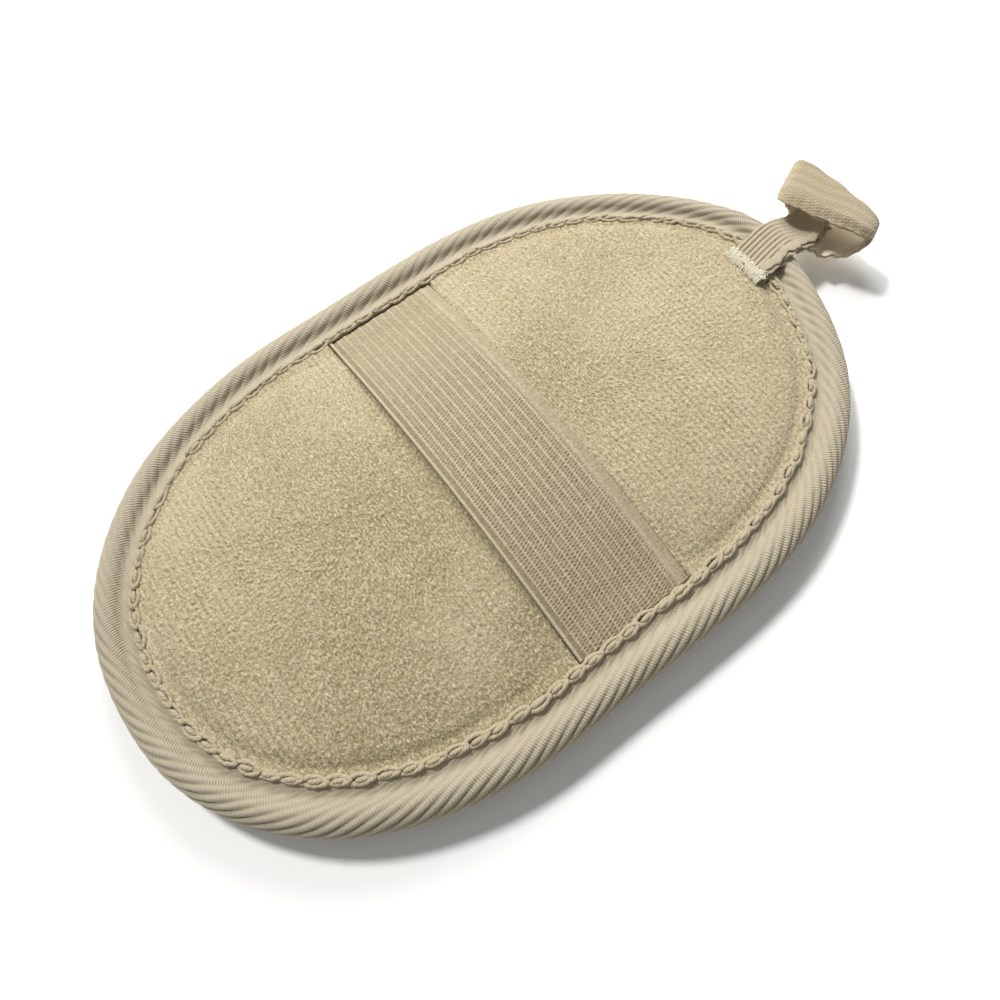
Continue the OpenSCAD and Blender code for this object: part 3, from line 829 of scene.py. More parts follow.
    # towards the far (+Y) side the painted rib shade fades and the tone goes lighter
    at[:, :m] += (0.86 - at[:, :m]) * 0.60 * back
    faces = ring_grid(n, mt)
    weave = np.full((n, mt), 0.6)
    weave[:, :m] = (0.28 + 0.34 * smooth(v, 3.9, 5.2) + 0.12 * full)[None, :] * (0.75 + 0.5 * value_noise((n, m), 40, 77))
    ob = new_object("edge_binding_tape", pull(co), [faces[:, ::-1]], uv=uv.reshape(-1, 2), attrs={"rib": at.ravel(), "weave": weave.ravel()})
    ob.data.materials.append(M_TAPE)
    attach(ob, "pad")
    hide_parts("edge_binding")
    return ob, length, total


# ---------------------------------------------------------------- chain stitch
def chain():
    count = STITCHES
    n = 22
    p, nrm, s, total = stitch_line(count * n)
    pitch = total / count
    a = np.arange(n) / n * 2 * math.pi
    links, bits = [], []
    t8 = np.linspace(0, 1, 8)
    for kk in range(count):
        s0 = kk * pitch
        # a teardrop: its tip is under the head of the one before
        along = s0 + pitch * 0.5 + (-np.cos(a)) * pitch * 0.60 + rng.normal(0, 0.20)
        wide = 0.53 + rng.normal(0, 0.09)
        u = (1 - np.cos(a)) / 2
        across = np.sin(a) * wide * (0.45 + 0.85 * np.sin(np.pi * np.clip(u, 0, 1)) ** 0.8 + 0.25 * u)
        across = np.where(across > 0, across * 1.12, across * 0.9)
        z = 10.62 + 0.26 * u ** 2 + 0.12 * np.sin(a * 2 + 0.4) - 0.14 * (1 - u) + rng.normal(0, 0.05)
        across = across + rng.normal(0, 0.14) + 0.10 * np.sin(a * 2 + rng.uniform(0, 6.28))
        z = z + 0.07 * np.sin(a * 3 + rng.uniform(0, 6.28))
        if kk in (5, 6, 7):
            across = across + 0.34 * np.sin(a * 3 + 1.9 * kk)
            z = z + 0.22 * np.cos(a * 2 + kk)
        q = (along % total) / total * (count * n)
        i0 = np.floor(q).astype(int) % (count * n)
        i1 = (i0 + 1) % (count * n)
        f = (q - np.floor(q))[:, None]
        pp = p[i0] * (1 - f) + p[i1] * f
        nn = nrm[i0] * (1 - f) + nrm[i1] * f
        nn /= np.linalg.norm(nn, axis=1)[:, None]
        d = 9.7 + across
        links.append(np.concatenate([pp - nn * d[:, None], z[:, None]], 1))
        # the needle thread's small loop shows through each link
        c0 = np.floor(((s0 + pitch * (0.60 + 0.62 * (t8 - 0.5))) % total) / total * (count * n)).astype(int) % (count * n)
        bits.append(np.concatenate([p[c0] - nrm[c0] * (9.68 + 0.26 * (t8 - 0.5) + rng.normal(0, 0.05))[:, None], (10.58 + 0.44 * np.sin(np.pi * t8))[:, None]], 1))
    rough = 1 + 0.17 * rng.normal(0, 1, (count, n)).clip(-1.5, 1.5)
    co, faces = tubes(np.array(links), 0.47 * rough, 8, closed=True)
    bco, bfaces = tubes(np.array(bits), 0.52 * (1 - 0.45 * np.abs(2 * t8 - 1) ** 3), 8)
    faces = list(faces) + [f + len(co) for f in bfaces]
    co = np.concatenate([co, bco])
    co[:, 2] = 10.4 + (co[:, 2] - 10.4) * 0.84 - 0.20 * smooth(co[:, 1], 0, 46)
    uv = np.zeros((len(co), 2))
    idx = np.arange(len(co))
    uv[:, 0] = (idx // 8) * (2 * pitch / n)
    uv[:, 1] = (idx % 8) / 8.0
    ob = new_object("chain_stitch_looper_loops", pull(co), faces, uv=uv)
    ob.data.materials.append(M_THREAD)
    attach(ob, "pad")
    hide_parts("chain_stitch_looper_thread")
    # needle side: one straight stitch each, dipping into the tape at both ends
    m = 12
    t = np.linspace(0, 1, m)
    runs = []
    for kk in range(count):
        along = kk * pitch + pitch * (0.06 + 0.88 * t)
        q = along / total * (count * n)
        i0 = np.floor(q).astype(int) % (count * n)
        i1 = (i0 + 1) % (count * n)
        f = (q - np.floor(q))[:, None]
        pp = p[i0] * (1 - f) + p[i1] * f
        nn = nrm[i0] * (1 - f) + nrm[i1] * f
        z = 0.55 + 0.55 * np.abs(2 * t - 1) ** 6
        d = 9.3 + rng.normal(0, 0.06) + 0.12 * (t - 0.5)
        runs.append(np.concatenate([pp - nn * np.broadcast_to(d, (m,))[:, None], z[:, None]], 1))
    co, faces = tubes(np.array(runs), 0.32, 8)
    idx = np.arange(len(co))
    uv = np.stack([(idx // 8) * (pitch / m), (idx % 8) / 8.0], 1)
    ob2 = new_object("chain_stitch_needle_stitches", pull(co), faces, uv=uv)
    ob2.data.materials.append(M_THREAD)
    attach(ob2, "pad")
    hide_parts("chain_stitch_needle_thread")


# ---------------------------------------------------------------- hand strap
def strap_half(side, name, nodes):
    nx, ny, nb = 184, 470, 12
    u = np.linspace(-1, 1, nx)
    x = STRAP_X + u * STRAP_HW
    yy = np.linspace(0, 52.4, ny) * side
    X, Y = np.meshgrid(x, yy)
    ay = np.abs(Y)
    base = np.where(ay < END_Y, arc_z(Y), LOW) + 0.02
    zt = base + STRAP_T
    flat = smooth(ay, END_Y + 0.15, END_Y + 1.05)
    zt = zt + 0.55 * smooth(ay, 39.0, END_Y - 0.4)
    zt = zt * (1 - flat) + (LOW + 1.28) * flat
    l = (X - (STRAP_X - STRAP_HW))            # distance from the -X selvage
    body = smooth(l, 1.5, 1.9) * (1 - smooth(l, 25.0, 25.5))
    line = np.abs(np.cos(np.pi * (l - 2.0) / 2.06)) ** 7        # a raised line over each rubber thread
    c = (l - 2.0) / 1.03
    line2 = np.abs(np.cos(np.pi * c)) ** 5
    col = np.floor(c)
    fx = c - col - 0.5
    rowp = 0.725
    odd = np.where(col.astype(int) % 2 == 0, 0.0, 0.5)
    slip = value_noise((ny, nx), 34, 51) - 0.5
    ph = Y / rowp - fx * 0.36 + odd + 0.6 * slip + 0.6 * (value_noise((ny, nx), 12, 53) - 0.5)
    deep = 0.45 + 0.75 * value_noise((ny, nx), 5, 52) + 0.25 * smooth(-Y, -20, 45)
    far = smooth(Y, 8, 44)
    deep = deep * (1 - 0.72 * far)
    hole = np.clip(np.cos(2 * np.pi * ph) * 1.45 - 0.40, 0, 1) * (1 - smooth(np.abs(fx), 0.22, 0.50)) * deep
    line = line * (1 - 0.45 * smooth(-Y, 4, 42))
    rough = value_noise((ny, nx), 2.2, 21) - 0.5
    h = body * ((0.10 * line + 0.04 * line2) * (1 - 0.6 * far) - 0.18 * hole) + 0.06 * rough
    # selvages: a bright cord on the -X edge with a furrow beside it, a plain flat edge on the other
    cord = np.exp(-((l - 0.30) / 0.34) ** 2)
    furrow = smooth(l, 0.55, 0.9) * (1 - smooth(l, 1.35, 1.8))
    h += 0.36 * cord - 0.16 * furrow
    other = 2 * STRAP_HW - l
    h += 0.10 * np.exp(-((other - 0.30) / 0.22) ** 2) + 0.10 * np.exp(-((other - 2.35) / 0.25) ** 2) - 0.06 * np.exp(-((other - 1.3) / 0.5) ** 2)
    h += 0.03 * np.sin(2 * np.pi * l / 0.52) * (1 - body)
    hidden = smooth(ay, 47.6, 48.6)
    h *= (1 - hidden)
    zt = zt + h - 0.14
    # the -X edge stands a little proud of the cloth, the other edge lies down on it
    edge_up = 0.22 * np.exp(-l / 2.2)
    zt += edge_up * (1 - flat)
    zt = np.where(l < 0.001, zt - 0.4, zt)
    zt = np.where(other < 0.001, zt - 0.4, zt)
    top = np.stack([X, Y, zt], -1)
    xb = STRAP_X + np.linspace(1, -1, nb) * (STRAP_HW - 0.05)
    Xb, Yb = np.meshgrid(xb, yy)
    zb = np.where(np.abs(Yb) < END_Y, arc_z(Yb), LOW) + 0.02 + 0.22 * np.exp(-(Xb - STRAP_X + STRAP_HW) / 2.2) * (1 - smooth(np.abs(Yb), END_Y - 0.4, END_Y + 1.2))
    bot = np.stack([Xb, Yb, zb], -1)
    co = np.concatenate([top, bot], 1).reshape(-1, 3)
    mt = nx + nb
    q = ring_grid(ny, mt, wrap_u=False)
    cap0, tri0 = cap(np.arange(nx), np.arange(nx, mt)[::-1])
    cap1, tri1 = cap((ny - 1) * mt + np.arange(nx), (ny - 1) * mt + np.arange(nx, mt)[::-1])
    faces = [q, cap0, tri0, cap1, tri1]
    if side > 0:
        faces = [f[:, ::-1] for f in faces]
    caps = (1, 2, 3, 4)
    at = np.full((ny, mt), 0.45)
    edge = smooth(l, 25.2, 25.7)
    # painted shade in the holes and the furrow, painted highlight on the raised lines over the rubber threads; the cord
    # and the +X edge band are lighter
    at[:, :nx] = np.clip(0.60 + body * ((0.32 * line + 0.08 * line2) * (1 - 0.55 * far) - 0.41 * hole) + 0.45 * cord - 0.24 * furrow
                         + edge * (0.10 + 0.16 * np.exp(-((other - 2.35) / 0.28) ** 2)) + 0.35 * rough, 0, 1)
    ob = new_object(name, co, faces, flat=caps, attrs={"rib": at.ravel()})
    bm_flip(ob)
    ob.data.materials.append(M_ELASTIC)
    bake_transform(ob)
    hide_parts(*nodes)
    return ob


# ---------------------------------------------------------------- loofah face
def loofah():
    n, inner = 420, 40
    p, nrm, _, _ = outline(n)
    ds = np.array([3.0, 6.0, 9.0, 10.4, 11.0, 11.8, 12.8, 14.0, 15.0])
    rings = [p - nrm * d for d in ds]
    e = p - nrm * 15.0
    xs = np.sign(p[:, 0]) * np.minimum(np.abs(p[:, 0]), ST) + np.sign(p[:, 0]) * np.maximum(np.abs(p[:, 0]) - ST, 0) / A * 17
    spine = np.stack([xs, np.zeros(n)], 1)
    for f in np.arange(1, inner) / inner:
        rings.append(e * (1 - f) + spine * f)
    R = np.array(rings)
    nr = len(rings)
    x, y = R[..., 0], R[..., 1]
    d = depth(x, y)
    noise = value_noise((nr, n), 3.0, 31) * 0.6 + value_noise((nr, n), 9.0, 32) * 0.4
    noise[:, -12:] = noise[:, -12:] * np.linspace(1, 0, 12) + noise[:, :1] * np.linspace(0, 1, 12)
    low = 0.75 + 1.15 * (1 - smooth(d, 10.2, 14.0)) + 0.55 * noise * smooth(d, 10, 13)
    top = np.full_like(low, 4.38)
    lower = np.stack([x, y, low], -1).reshape(-1, 3)
    upper = np.stack([x[::8], y[::8], top[::8]], -1)
    keep_rings = list(range(0, nr, 8))
    if keep_rings[-1] != nr - 1:
        keep_rings.append(nr - 1)
    upper = np.stack([x[keep_rings], y[keep_rings], top[keep_rings]], -1).reshape(-1, 3)
    nu = len(keep_rings)
    half = n // 2
    i = np.arange(1, half - 1)
    last = (nr - 1) * n
    base = len(lower)
    ul = base + (nu - 1) * n
    j = np.arange(n)
    faces = [ring_grid(nr, n, wrap_u=False)[:, ::-1],
             np.stack([last + i, last + n - i, last + n - i - 1, last + i + 1], 1),
             np.array([[last, last + n - 1, last + 1], [last + half, last + half - 1, last + half + 1]]),
             ring_grid(nu, n, base, wrap_u=False),
             np.stack([ul + i + 1, ul + n - i - 1, ul + n - i, ul + i], 1),
             np.array([[ul + 1, ul + n - 1, ul], [ul + half + 1, ul + half - 1, ul + half]]),
             np.stack([j, (j + 1) % n, base + (j + 1) % n, base + j], 1)]
    co = np.concatenate([lower, upper])
    tone = np.concatenate([np.clip(0.55 - 0.6 * noise.ravel(), 0, 1), np.full(len(upper), 0.3)])
    # the luffa's own fibres: a net of long and cross strands that lies on the face
    r = np.random.default_rng(41)
    count, m = 900, 34
    paths = np.zeros((count, m, 3))
    rad = np.zeros((count, m))
    tones = np.zeros(count)
    done = 0
    while done < count:
        long_one = r.random() < 0.62
        x0, y0 = r.uniform(-78, 78), r.uniform(-46, 46)
        if depth(np.array([x0]), np.array([y0]))[0] < 11:
            continue
        a0 = (r.normal(0, 0.28) if long_one else r.uniform(-1.5, 1.5)) + (math.pi if r.random() < 0.5 else 0)
        ln = r.uniform(26, 64) if long_one else r.uniform(9, 30)
        step = ln / (m - 1)
        turn = np.cumsum(r.normal(0, 0.085 if long_one else 0.17, m))
        aa = a0 + turn
        xx = x0 + np.cumsum(np.cos(aa)) * step
        yy = y0 + np.cumsum(np.sin(aa)) * step
        dd = depth(xx, yy)
        # strands run in under the binding: keep them from leaving the pad
        if dd.min() < 4.5:
            over = np.argmax(dd < 8.0)
            if over < 8:
                continue
            xx = np.interp(np.linspace(0, over, m), np.arange(m), xx)
            yy = np.interp(np.linspace(0, over, m), np.arange(m), yy)
            dd = depth(xx, yy)
        rr = r.uniform(0.13, 0.30) if long_one else r.uniform(0.09, 0.2)
        layer = r.uniform(0.0, 1.0)
        z = rr + 0.02 + 0.75 * layer * (0.6 + 0.4 * np.sin(np.linspace(0, r.uniform(3, 11), m) + r.uniform(0, 6)) ** 2)
        z = z + 1.25 * (1 - smooth(dd, 9.8, 13.6))
        paths[done] = np.stack([xx, yy, z], 1)
        taper = np.minimum(np.linspace(0.35, 5, m), np.linspace(5, 0.35, m)).clip(0, 1)
        rad[done] = rr * (0.8 + 0.2 * np.sin(np.linspace(0, 20, m))) * taper
        tones[done] = np.clip(0.95 - 0.7 * layer + r.normal(0, 0.08), 0.15, 1)
        done += 1
    fco, ffaces = tubes(paths, rad, 5)
    base = len(co)
    co = np.concatenate([co, fco])
    faces += [f + base for f in ffaces]
    tone = np.concatenate([tone, np.repeat(tones, m * 5)])
    ob = new_object("loofah_face_net", pull(co), faces, attrs={"tone": tone})
    ob.data.materials.append(M_LOOFAH)
    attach(ob, "pad")
    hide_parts("loofah_face")


terry()
BINDING, TAPE_LEN, TOTAL = binding()
chain()
strap_half(-1, "hand_strap_near", ["strap_sewn_end_near", "hand_strap_web", "hand_strap_rubber_threads"])
strap_half(1, "hand_strap_far", ["strap_sewn_end_far"])
loofah()

# ---------------------------------------------------------------- hanging loop
LOOP_L = np.array([-0.4035, 0.915, 0.0])      # along the loop's long side
LOOP_W = np.array([0.915, 0.4035, 0.0])       # across its tape
LOOP_O = np.array([102.2, 1.4, 0.0])
LEG_Z = np.array([[78.0, 11.8], [78.9, 12.25], [79.8, 12.6], [81.0, 12.9], [84, 13.1], [88, 13.08], [90, 12.85], [91.5, 12.5], [93, 11.9],
                  [94.5, 11.15], [96, 10.35], [97.5, 9.7], [99.5, 9.2], [102, 8.95], [106, 8.8]])


def leg_frame(x):
    yc = 0.95 + 0.125 * (x - 80.6) - 0.085 * np.maximum(x - 94.0, 0) ** 1.0
    yc = yc + np.interp(x, [78, 84, 93, 99, 105], [0.85, 0.80, 0.65, 0.25, 0])
    hw = np.interp(x, [78, 84, 93, 99, 105], [5.0, 5.0, 5.1, 5.05, 4.6])
    zt = np.interp(x, LEG_Z[:, 0], LEG_Z[:, 1])
    k = np.ones(9) / 9
    return yc, hw, zt


def leg_layers(xa, xb, nx, cut):
    """Four thicknesses of tape one on another: two legs, each of tape folded double."""
    xs = np.linspace(xa, xb, nx)
    fine = np.linspace(xa - 3, xb + 3, 400)
    zf = leg_frame(fine)[2]
    kern = np.exp(-np.linspace(-2, 2, 41) ** 2)
    zf = np.convolve(np.pad(zf, 20, mode="edge"), kern / kern.sum(), "valid")
    yc, hw, _ = leg_frame(xs)
    zt = np.interp(xs, fine, zf)
    m = 72
    u = np.sin(np.linspace(-1, 1, m) * math.pi / 2 * 0.999)
    u = 0.55 * u + 0.45 * np.linspace(-1, 1, m)
    co, uvs, rib_at, faces = [], [], [], []
    base = 0
    for k in range(4):
        t = 0.43
        mid = zt - (k + 0.5) * (t + 0.012)
        er = 0.34 * np.sin(xs * 0.9 + 1.7 * k) + 0.16 * np.sin(xs * 2.3 + k) + (0.0, 0.55, 0.15, 0.7)[k]
        el = 0.22 * np.sin(xs * 0.8 + 2.1 * k) + 0.1 * np.sin(xs * 2.7 + k) + (0.0, -0.25, 0.1, -0.3)[k]
        right = yc - hw - er
        left = yc + hw + el
        Y = (left + right)[:, None] / 2 + u[None, :] * (left - right)[:, None] / 2
        X = np.broadcast_to(xs[:, None], Y.shape).copy()
        round_ = np.sqrt(np.clip(1 - np.abs(u) ** 14, 0, 1))[None, :]
        ld = left[:, None] - Y
        wide = (left - right)[:, None]
        bend = 0.35 * np.sin((xs[:, None] - 80) * 0.13)
        lr = (yc + hw)[:, None] - Y
        ribs = np.abs(np.sin(np.pi * (lr + bend) / 1.17)) ** 0.8
        zone = 1 - smooth(ld, wide - 2.3, wide - 1.7)
        amp = (0.36 * (1 - smooth(xs, 88.0, 99)) + 0.10)[:, None]
        disp = amp * (ribs - 0.75) * zone * (1.0 if k == 0 else 0.35)
        disp = disp + 0.12 * (1 - zone) * (1 if k == 0 else 0)
        wave = 0.10 * np.sin(X * 1.7 + 0.8 * k) * np.exp(-((wide - ld) / 1.6) ** 2)
        # the far-right edge lifts as the tape turns into the ring
        lift = 2.3 * smooth(X, 95.5, 104.5) * np.exp(-((wide - ld) / 3.2) ** 2) * (1 - 0.12 * k)
        Zt = mid[:, None] + round_ * t / 2 + disp * round_ + wave + lift
        Zb = mid[:, None] - round_ * t / 2 + (disp * 0.35 * round_ if k == 0 else 0) + wave + lift
        if cut:
            j = 0.28 * np.sin(Y[0] * 3.1 + k) + 0.2 * np.sin(Y[0] * 7.3 + 2 * k) + (0.0, 0.2, -0.15, 0.3)[k]
            X[0] += j
            X[1] += j * 0.5
        bi = np.arange(m - 2, 0, -4)
        top = np.stack([X, Y, Zt], -1)
        bot = np.stack([X, Y, Zb], -1)[:, bi]
        ring = np.concatenate([top, bot], 1)
        mt = ring.shape[1]
        f = ring_grid(nx, mt, base, wrap_u=False)
        c0, t0 = cap(base + np.arange(m), base + np.arange(m, mt)[::-1])
        end = base + (nx - 1) * mt
        c1, t1 = cap(end + np.arange(m), end + np.arange(m, mt)[::-1])
        faces += [f, c0, t0, c1, t1]
        uv = np.zeros((nx, mt, 2))
        uv[:, :m, 0] = ld
        uv[:, :m, 1] = X
        uv[:, m:, 0] = ld[:, bi]
        uv[:, m:, 1] = X[:, bi]
        at = np.full((nx, mt), 0.45)
        fade = (1 - smooth(xs, 88.5, 101))[:, None]
        # painted shade: the gaps between the leg's ribs are darker than their tops, fading towards the ring
        at[:, :m] = np.clip(zone * (0.17 + 0.76 * (ribs * (0.2 + 0.8 * fade) + 0.62 * (1 - fade))) + 0.86 * (1 - zone), 0, 1)
        if k:
            at[:, :m] = 0.62
        co.append(ring.reshape(-1, 3))
        uvs.append(uv.reshape(-1, 2))
        rib_at.append(at.ravel())
        base += nx * mt
    return np.concatenate(co), faces, np.concatenate(uvs), np.concatenate(rib_at)


def closed_spline(q, m):
    q = np.asarray(q, float)
    n = len(q)
    out = []
    for i in range(n):
        p0, p1, p2, p3 = q[i - 1], q[i], q[(i + 1) % n], q[(i + 2) % n]
        for s in np.linspace(0, 1, 40, endpoint=False):
            out.append(0.5 * ((2 * p1) + (-p0 + p2) * s + (2 * p0 - 5 * p1 + 4 * p2 - p3) * s * s + (-p0 + 3 * p1 - 3 * p2 + p3) * s ** 3))
    out = np.array(out)
    e = np.concatenate([out, out[:1]])
    d = np.concatenate([[0], np.cumsum(np.linalg.norm(np.diff(e[:, :2], axis=0), axis=1))])
    at = np.arange(m) / m * d[-1]
    return np.stack([np.interp(at, d, e[:, k]) for k in range(q.shape[1])], 1), at, d[-1]


#        along,  height, front edge, back edge, droop of the back edge
RING = [[7.4, 7.9, 4.0, 10.0, 0.0],
        [4.0, 7.0, -0.2, 8.8, 0.0],
        [0.0, 6.45, -4.0, 7.8, 0.2],
        [-4.0, 6.2, -4.9, 7.4, 0.3],
        [-8.0, 6.3, -4.0, 6.8, 0.3],
        [-11.0, 7.0, -2.2, 6.2, 0.0],
        [-12.8, 8.3, -0.3, 5.6, 0.0],
        [-13.6, 10.6, 0.0, 5.1, -0.3],
        [-13.4, 13.1, -0.9, 5.2, -0.6],
        [-11.8, 14.5, -1.7, 5.8, -0.7],
        [-8.0, 15.0, -1.9, 7.1, -0.5],
        [-3.0, 15.2, -1.9, 9.05, -0.3],
        [2.0, 15.35, -1.7, 10.9, -0.2],
        [6.4, 15.45, -1.4, 12.1, -0.1],
        [9.3, 15.2, -0.9, 12.8, 0.0],
        [10.2, 13.9, 1.2, 12.4, -0.1],
        [9.6, 11.7, 5.0, 11.6, -0.1],
        [8.6, 9.7, 5.6, 10.8, 0.0]]


def ring_band():
    nt, nw = 420, 46
    c, at, total = closed_spline(RING, nt)
    l, z, wf, wb, droop = c.T
    tl = np.roll(l, -1) - np.roll(l, 1)
    tz = np.roll(z, -1) - np.roll(z, 1)
    g = np.hypot(tl, tz)
    nl, nz = -tz / g, tl / g                     # the path runs clockwise seen from the front: flip below if needed
    centre = np.array([-1.5, 11.0])
    if np.mean((l - centre[0]) * nl + (z - centre[1]) * nz) < 0:
        nl, nz = -nl, -nz
    lower = 1 - smooth(z, 8.0, 10.5)
    upper = smooth(z, 13.0, 14.6)
    q = 0.5 - 0.5 * np.cos(np.linspace(0, 1, nw) * math.pi)
    q = 0.5 * q + 0.5 * np.linspace(0, 1, nw)
    co, uvs, ats, faces, painted_lights = [], [], [], [], []
    base = 0
    for k in range(2):
        sgn = 1 if k == 0 else -1
        front = wf + lower * (0.42 * np.sin(at * 2 * np.pi / 5.2 + 0.7 * k) + 0.2 * np.sin(at * 2 * np.pi / 2.1 + k)) \
            + upper * (0.14 * np.sin(at * 2 * np.pi / 6.1 + k) + 0.08 * np.sin(at * 2 * np.pi / 2.3)) + (0.0, 0.35)[k]
        back = wb + 0.2 * np.sin(at * 2 * np.pi / 7.3 + k)
        w = front[:, None] + q[None, :] * (back - front)[:, None]
        round_ = np.sqrt(np.clip(1 - np.abs(2 * q - 1) ** 16, 0, 1))[None, :]
        dz = droop[:, None] * smooth(q, 0.25, 1.0)[None, :] ** 1.2
        dz = dz - upper[:, None] * 1.25 * (1 - smooth(q, 0.0, 0.26))[None, :]
        dz = dz + lower[:, None] * 0.55 * np.sin(at * 2 * np.pi / 5.0 + 2.0)[:, None] * np.exp(-q * 4.5)[None, :]
        t = 0.56
        off = sgn * (t / 2 + 0.01)
        S = at[:, None]
        row = np.floor(w / 0.72)
        bumps = 0.05 * np.abs(np.sin(np.pi * w / 0.72)) ** 0.6 * np.sin(2 * np.pi * (S + 0.37 * row + 0.5 * (value_noise(w.shape, 9, 91 + k) - 0.5)) / 0.86)
        lines = 0.05 * np.abs(np.sin(np.pi * w / 1.2)) * upper[:, None]
        ribs = 0.07 * (np.abs(np.sin(np.pi * w / 1.25)) ** 0.7 - 0.6) * lower[:, None]
        surf = (bumps * (0.5 + 0.5 * upper[:, None]) + lines + ribs)
        face_out = off + round_ * t / 2 + surf * round_ * (1 if k == 0 else 0.3)
        face_in = off - round_ * t / 2 - surf * round_ * (0.3 if k == 0 else 1)
        rows = []
        for o, qi in ((face_out, slice(None)), (face_in, slice(nw - 2, 0, -1))):
            oo = o[:, qi]
            L = l[:, None] + nl[:, None] * oo
            Z = z[:, None] + nz[:, None] * oo + dz[:, qi]
            Wd = w[:, qi]
            rows.append(LOOP_O[None, None, :] + L[..., None] * LOOP_L + Wd[..., None] * LOOP_W + Z[..., None] * np.array([0, 0, 1.0]))
        ring = np.concatenate(rows, 1)
        mt = ring.shape[1]
        faces.append(ring_grid(nt, mt, base))
        uv = np.zeros((nt, mt, 2))
        ww = np.concatenate([w, w[:, nw - 2:0:-1]], 1)
        uv[..., 0] = at[:, None]
        uv[..., 1] = ww * 0.9 + 0.25 * at[:, None]
        # painted highlight and shade: the tone follows the bumps of the upper band's relief
        a_up = 0.56 + 3.6 * bumps + 0.09 * np.sin(2 * np.pi * w / 2.9 + 0.8 * np.sin(S * 0.5))
        # the lower band is lighter overall (painted light), with darker gaps between its ribs (painted shade)
        a_low = 0.62 + 0.30 * np.abs(np.sin(np.pi * w / 1.25))
        a = a_up * (1 - lower[:, None]) + a_low * lower[:, None]
        a = np.clip(a, 0, 1)
        ats.append(np.concatenate([a, a[:, nw - 2:0:-1]], 1).ravel())
        co.append(ring.reshape(-1, 3))
        uvs.append(uv.reshape(-1, 2))
        # painted light on the lower band, against the shade of the upper band
        painted_lights.append(np.broadcast_to(0.85 * lower[:, None], (nt, mt)).ravel())
        base += nt * mt
    return np.concatenate(co), faces, np.concatenate(uvs), np.concatenate(ats), np.concatenate(painted_lights)


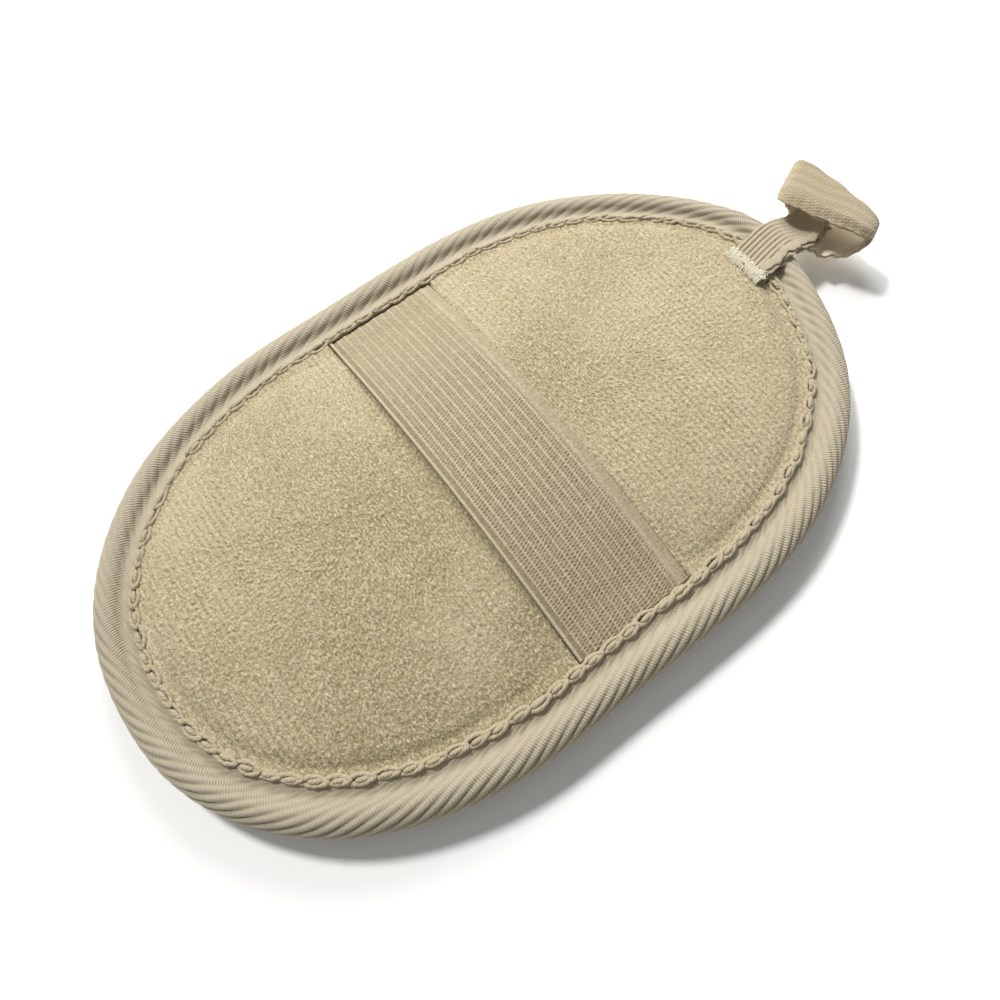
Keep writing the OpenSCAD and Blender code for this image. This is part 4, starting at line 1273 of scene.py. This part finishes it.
def loop():
    co, faces, uv, at = leg_layers(79.0, 93.0, 70, True)
    ob = new_object("hanging_loop_base", co, faces, uv=uv, flat=[k for k in range(20) if k % 5], attrs={"rib": at, "weave": np.full(len(co), 0.85)})
    bm_flip(ob)
    ob.data.materials.append(M_LOOP)
    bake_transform(ob)
    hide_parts("hanging_loop_sewn_tail", "hanging_loop_legs")
    co, faces, uv, at = leg_layers(93.0, 104.6, 60, False)
    rco, rfaces, ruv, rat, painted_light = ring_band()
    base = len(co)
    ob2 = new_object("hanging_loop_eye", np.concatenate([co, rco]), list(faces) + [f + base for f in rfaces],
                     uv=np.concatenate([uv, ruv]), flat=[k for k in range(20) if k % 5], attrs={"rib": np.concatenate([at, rat]), "weave": np.concatenate([np.full(len(co), 0.85), np.full(len(rco), 0.35)]), "painted_light": np.concatenate([np.zeros(len(co)), painted_light])})
    bm_flip(ob2)
    ob2.data.materials.append(M_LOOP)
    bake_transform(ob2)
    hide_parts("hanging_loop_ring")
    # bartack: a row of close zigzag stitches over the cut end
    r = np.random.default_rng(61)
    runs = []
    count, m = 52, 12
    for i in range(count):
        y = -3.4 + 10.4 * i / (count - 1) + r.normal(0, 0.05)
        lean = 0.32 if i % 2 else -0.32
        t = np.linspace(0, 1, m)
        x = 77.75 + 2.7 * t + r.normal(0, 0.2)
        yy = y + lean * (t - 0.5) + 0.06 * np.sin(t * 9 + i)
        top = np.interp(x, [77.2, 78.0, 78.8, 79.6, 80.6, 82.2], [11.35, 11.95, 12.42, 12.78, 13.05, 13.2])
        z = top + 0.06 * np.sin(t * math.pi) - 0.26 * (np.abs(2 * t - 1) ** 6) + r.normal(0, 0.02)
        runs.append(np.stack([x, yy, z], 1))
    co, faces = tubes(np.array(runs), 0.25, 7)
    idx = np.arange(len(co))
    uv = np.stack([(idx // 7) * 0.25, (idx % 7) / 7.0], 1)
    # loose ends of the thread at its corner
    curls = []
    for i in range(9):
        t = np.linspace(0, 1, 26)
        a = r.uniform(0, 6.28)
        cx, cy = 79.7 + r.uniform(-0.9, 1.3), -3.1 + r.uniform(-0.7, 1.1)
        if i > 5:
            cx, cy = 79.3 + r.uniform(-0.6, 0.6), r.uniform(-2, 6)
        rr = r.uniform(0.35, 0.75)
        curls.append(np.stack([cx + rr * np.cos(a + t * r.uniform(3, 6)) * (0.6 + 0.6 * t), cy + rr * np.sin(a + t * r.uniform(3, 6)),
                               12.75 + 0.35 * np.sin(t * 3.1) - 0.9 * np.clip(79.3 - cx, 0, 1)], 1))
    cco, cfaces = tubes(np.array(curls), 0.15, 7)
    idx = np.arange(len(cco))
    base = len(co)
    uv = np.concatenate([uv, np.stack([(idx // 7) * 0.2, (idx % 7) / 7.0], 1)])
    ob3 = new_object("hanging_loop_bartack_stitches", np.concatenate([co, cco]), list(faces) + [f + base for f in cfaces], uv=uv)
    bm_flip(ob3)
    ob3.data.materials.append(M_BARTACK)
    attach(ob3, "pad")
    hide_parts("hanging_loop_bartack")


loop()

# ---------------------------------------------------------------- carried-over CAD nodes
for node, mat in (("foam_core", M_FOAM), ("strap_tack_stitches_near", M_THREAD), ("strap_tack_stitches_far", M_THREAD),
                  ("hanging_loop_sewn_tail", M_LOOP), ("hanging_loop_bartack", M_BARTACK), ("hanging_loop_legs", M_LOOP), ("hanging_loop_ring", M_LOOP)):
    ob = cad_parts[node]
    if not ob.data.materials:
        ob.data.materials.append(mat)
    for sl in ob.material_slots:
        sl.material = mat

# ---------------------------------------------------------------- stage and light
floor_me = bpy.data.meshes.new("floor")
floor_me.from_pydata([(-3, -3, 0), (3, -3, 0), (3, 3, 0), (-3, 3, 0)], [], [(0, 1, 2, 3)])
floor = bpy.data.objects.new("floor", floor_me)
scene.collection.objects.link(floor)
fm = Mat("floor_white", 0.85, 0.0)
fm.b.inputs["Base Color"].default_value = (0.93, 0.93, 0.93, 1)
floor.data.materials.append(fm.m)

world = bpy.data.worlds.new("world")
scene.world = world
world.use_nodes = True
bg = world.node_tree.nodes["Background"]
bg.inputs["Color"].default_value = (1.0, 0.995, 0.985, 1)
bg.inputs["Strength"].default_value = 0.31


def lamp(name, kind, energy, direction, color=(1, 1, 1), size=0.2, dist=0.8, angle=10):
    d = bpy.data.lights.new(name, kind)
    d.energy = energy
    d.color = color
    if kind == "SUN":
        d.angle = math.radians(angle)
    else:
        d.shape = "DISK"
        d.size = size
    ob = bpy.data.objects.new(name, d)
    scene.collection.objects.link(ob)
    v = Vector(direction).normalized()
    ob.location = v * dist
    ob.rotation_euler = v.to_track_quat("Z", "Y").to_euler()
    return ob


lamp("key", "SUN", 2.65, (-0.12, 0.80, 1.05), (1.0, 0.99, 0.97), angle=9)
lamp("back", "AREA", 1.3, (0.55, 0.75, 0.8), (1.0, 0.99, 0.98), size=0.25, dist=0.42)

scene.view_settings.view_transform = "Standard"
scene.view_settings.look = "None"
scene.view_settings.exposure = 0.0
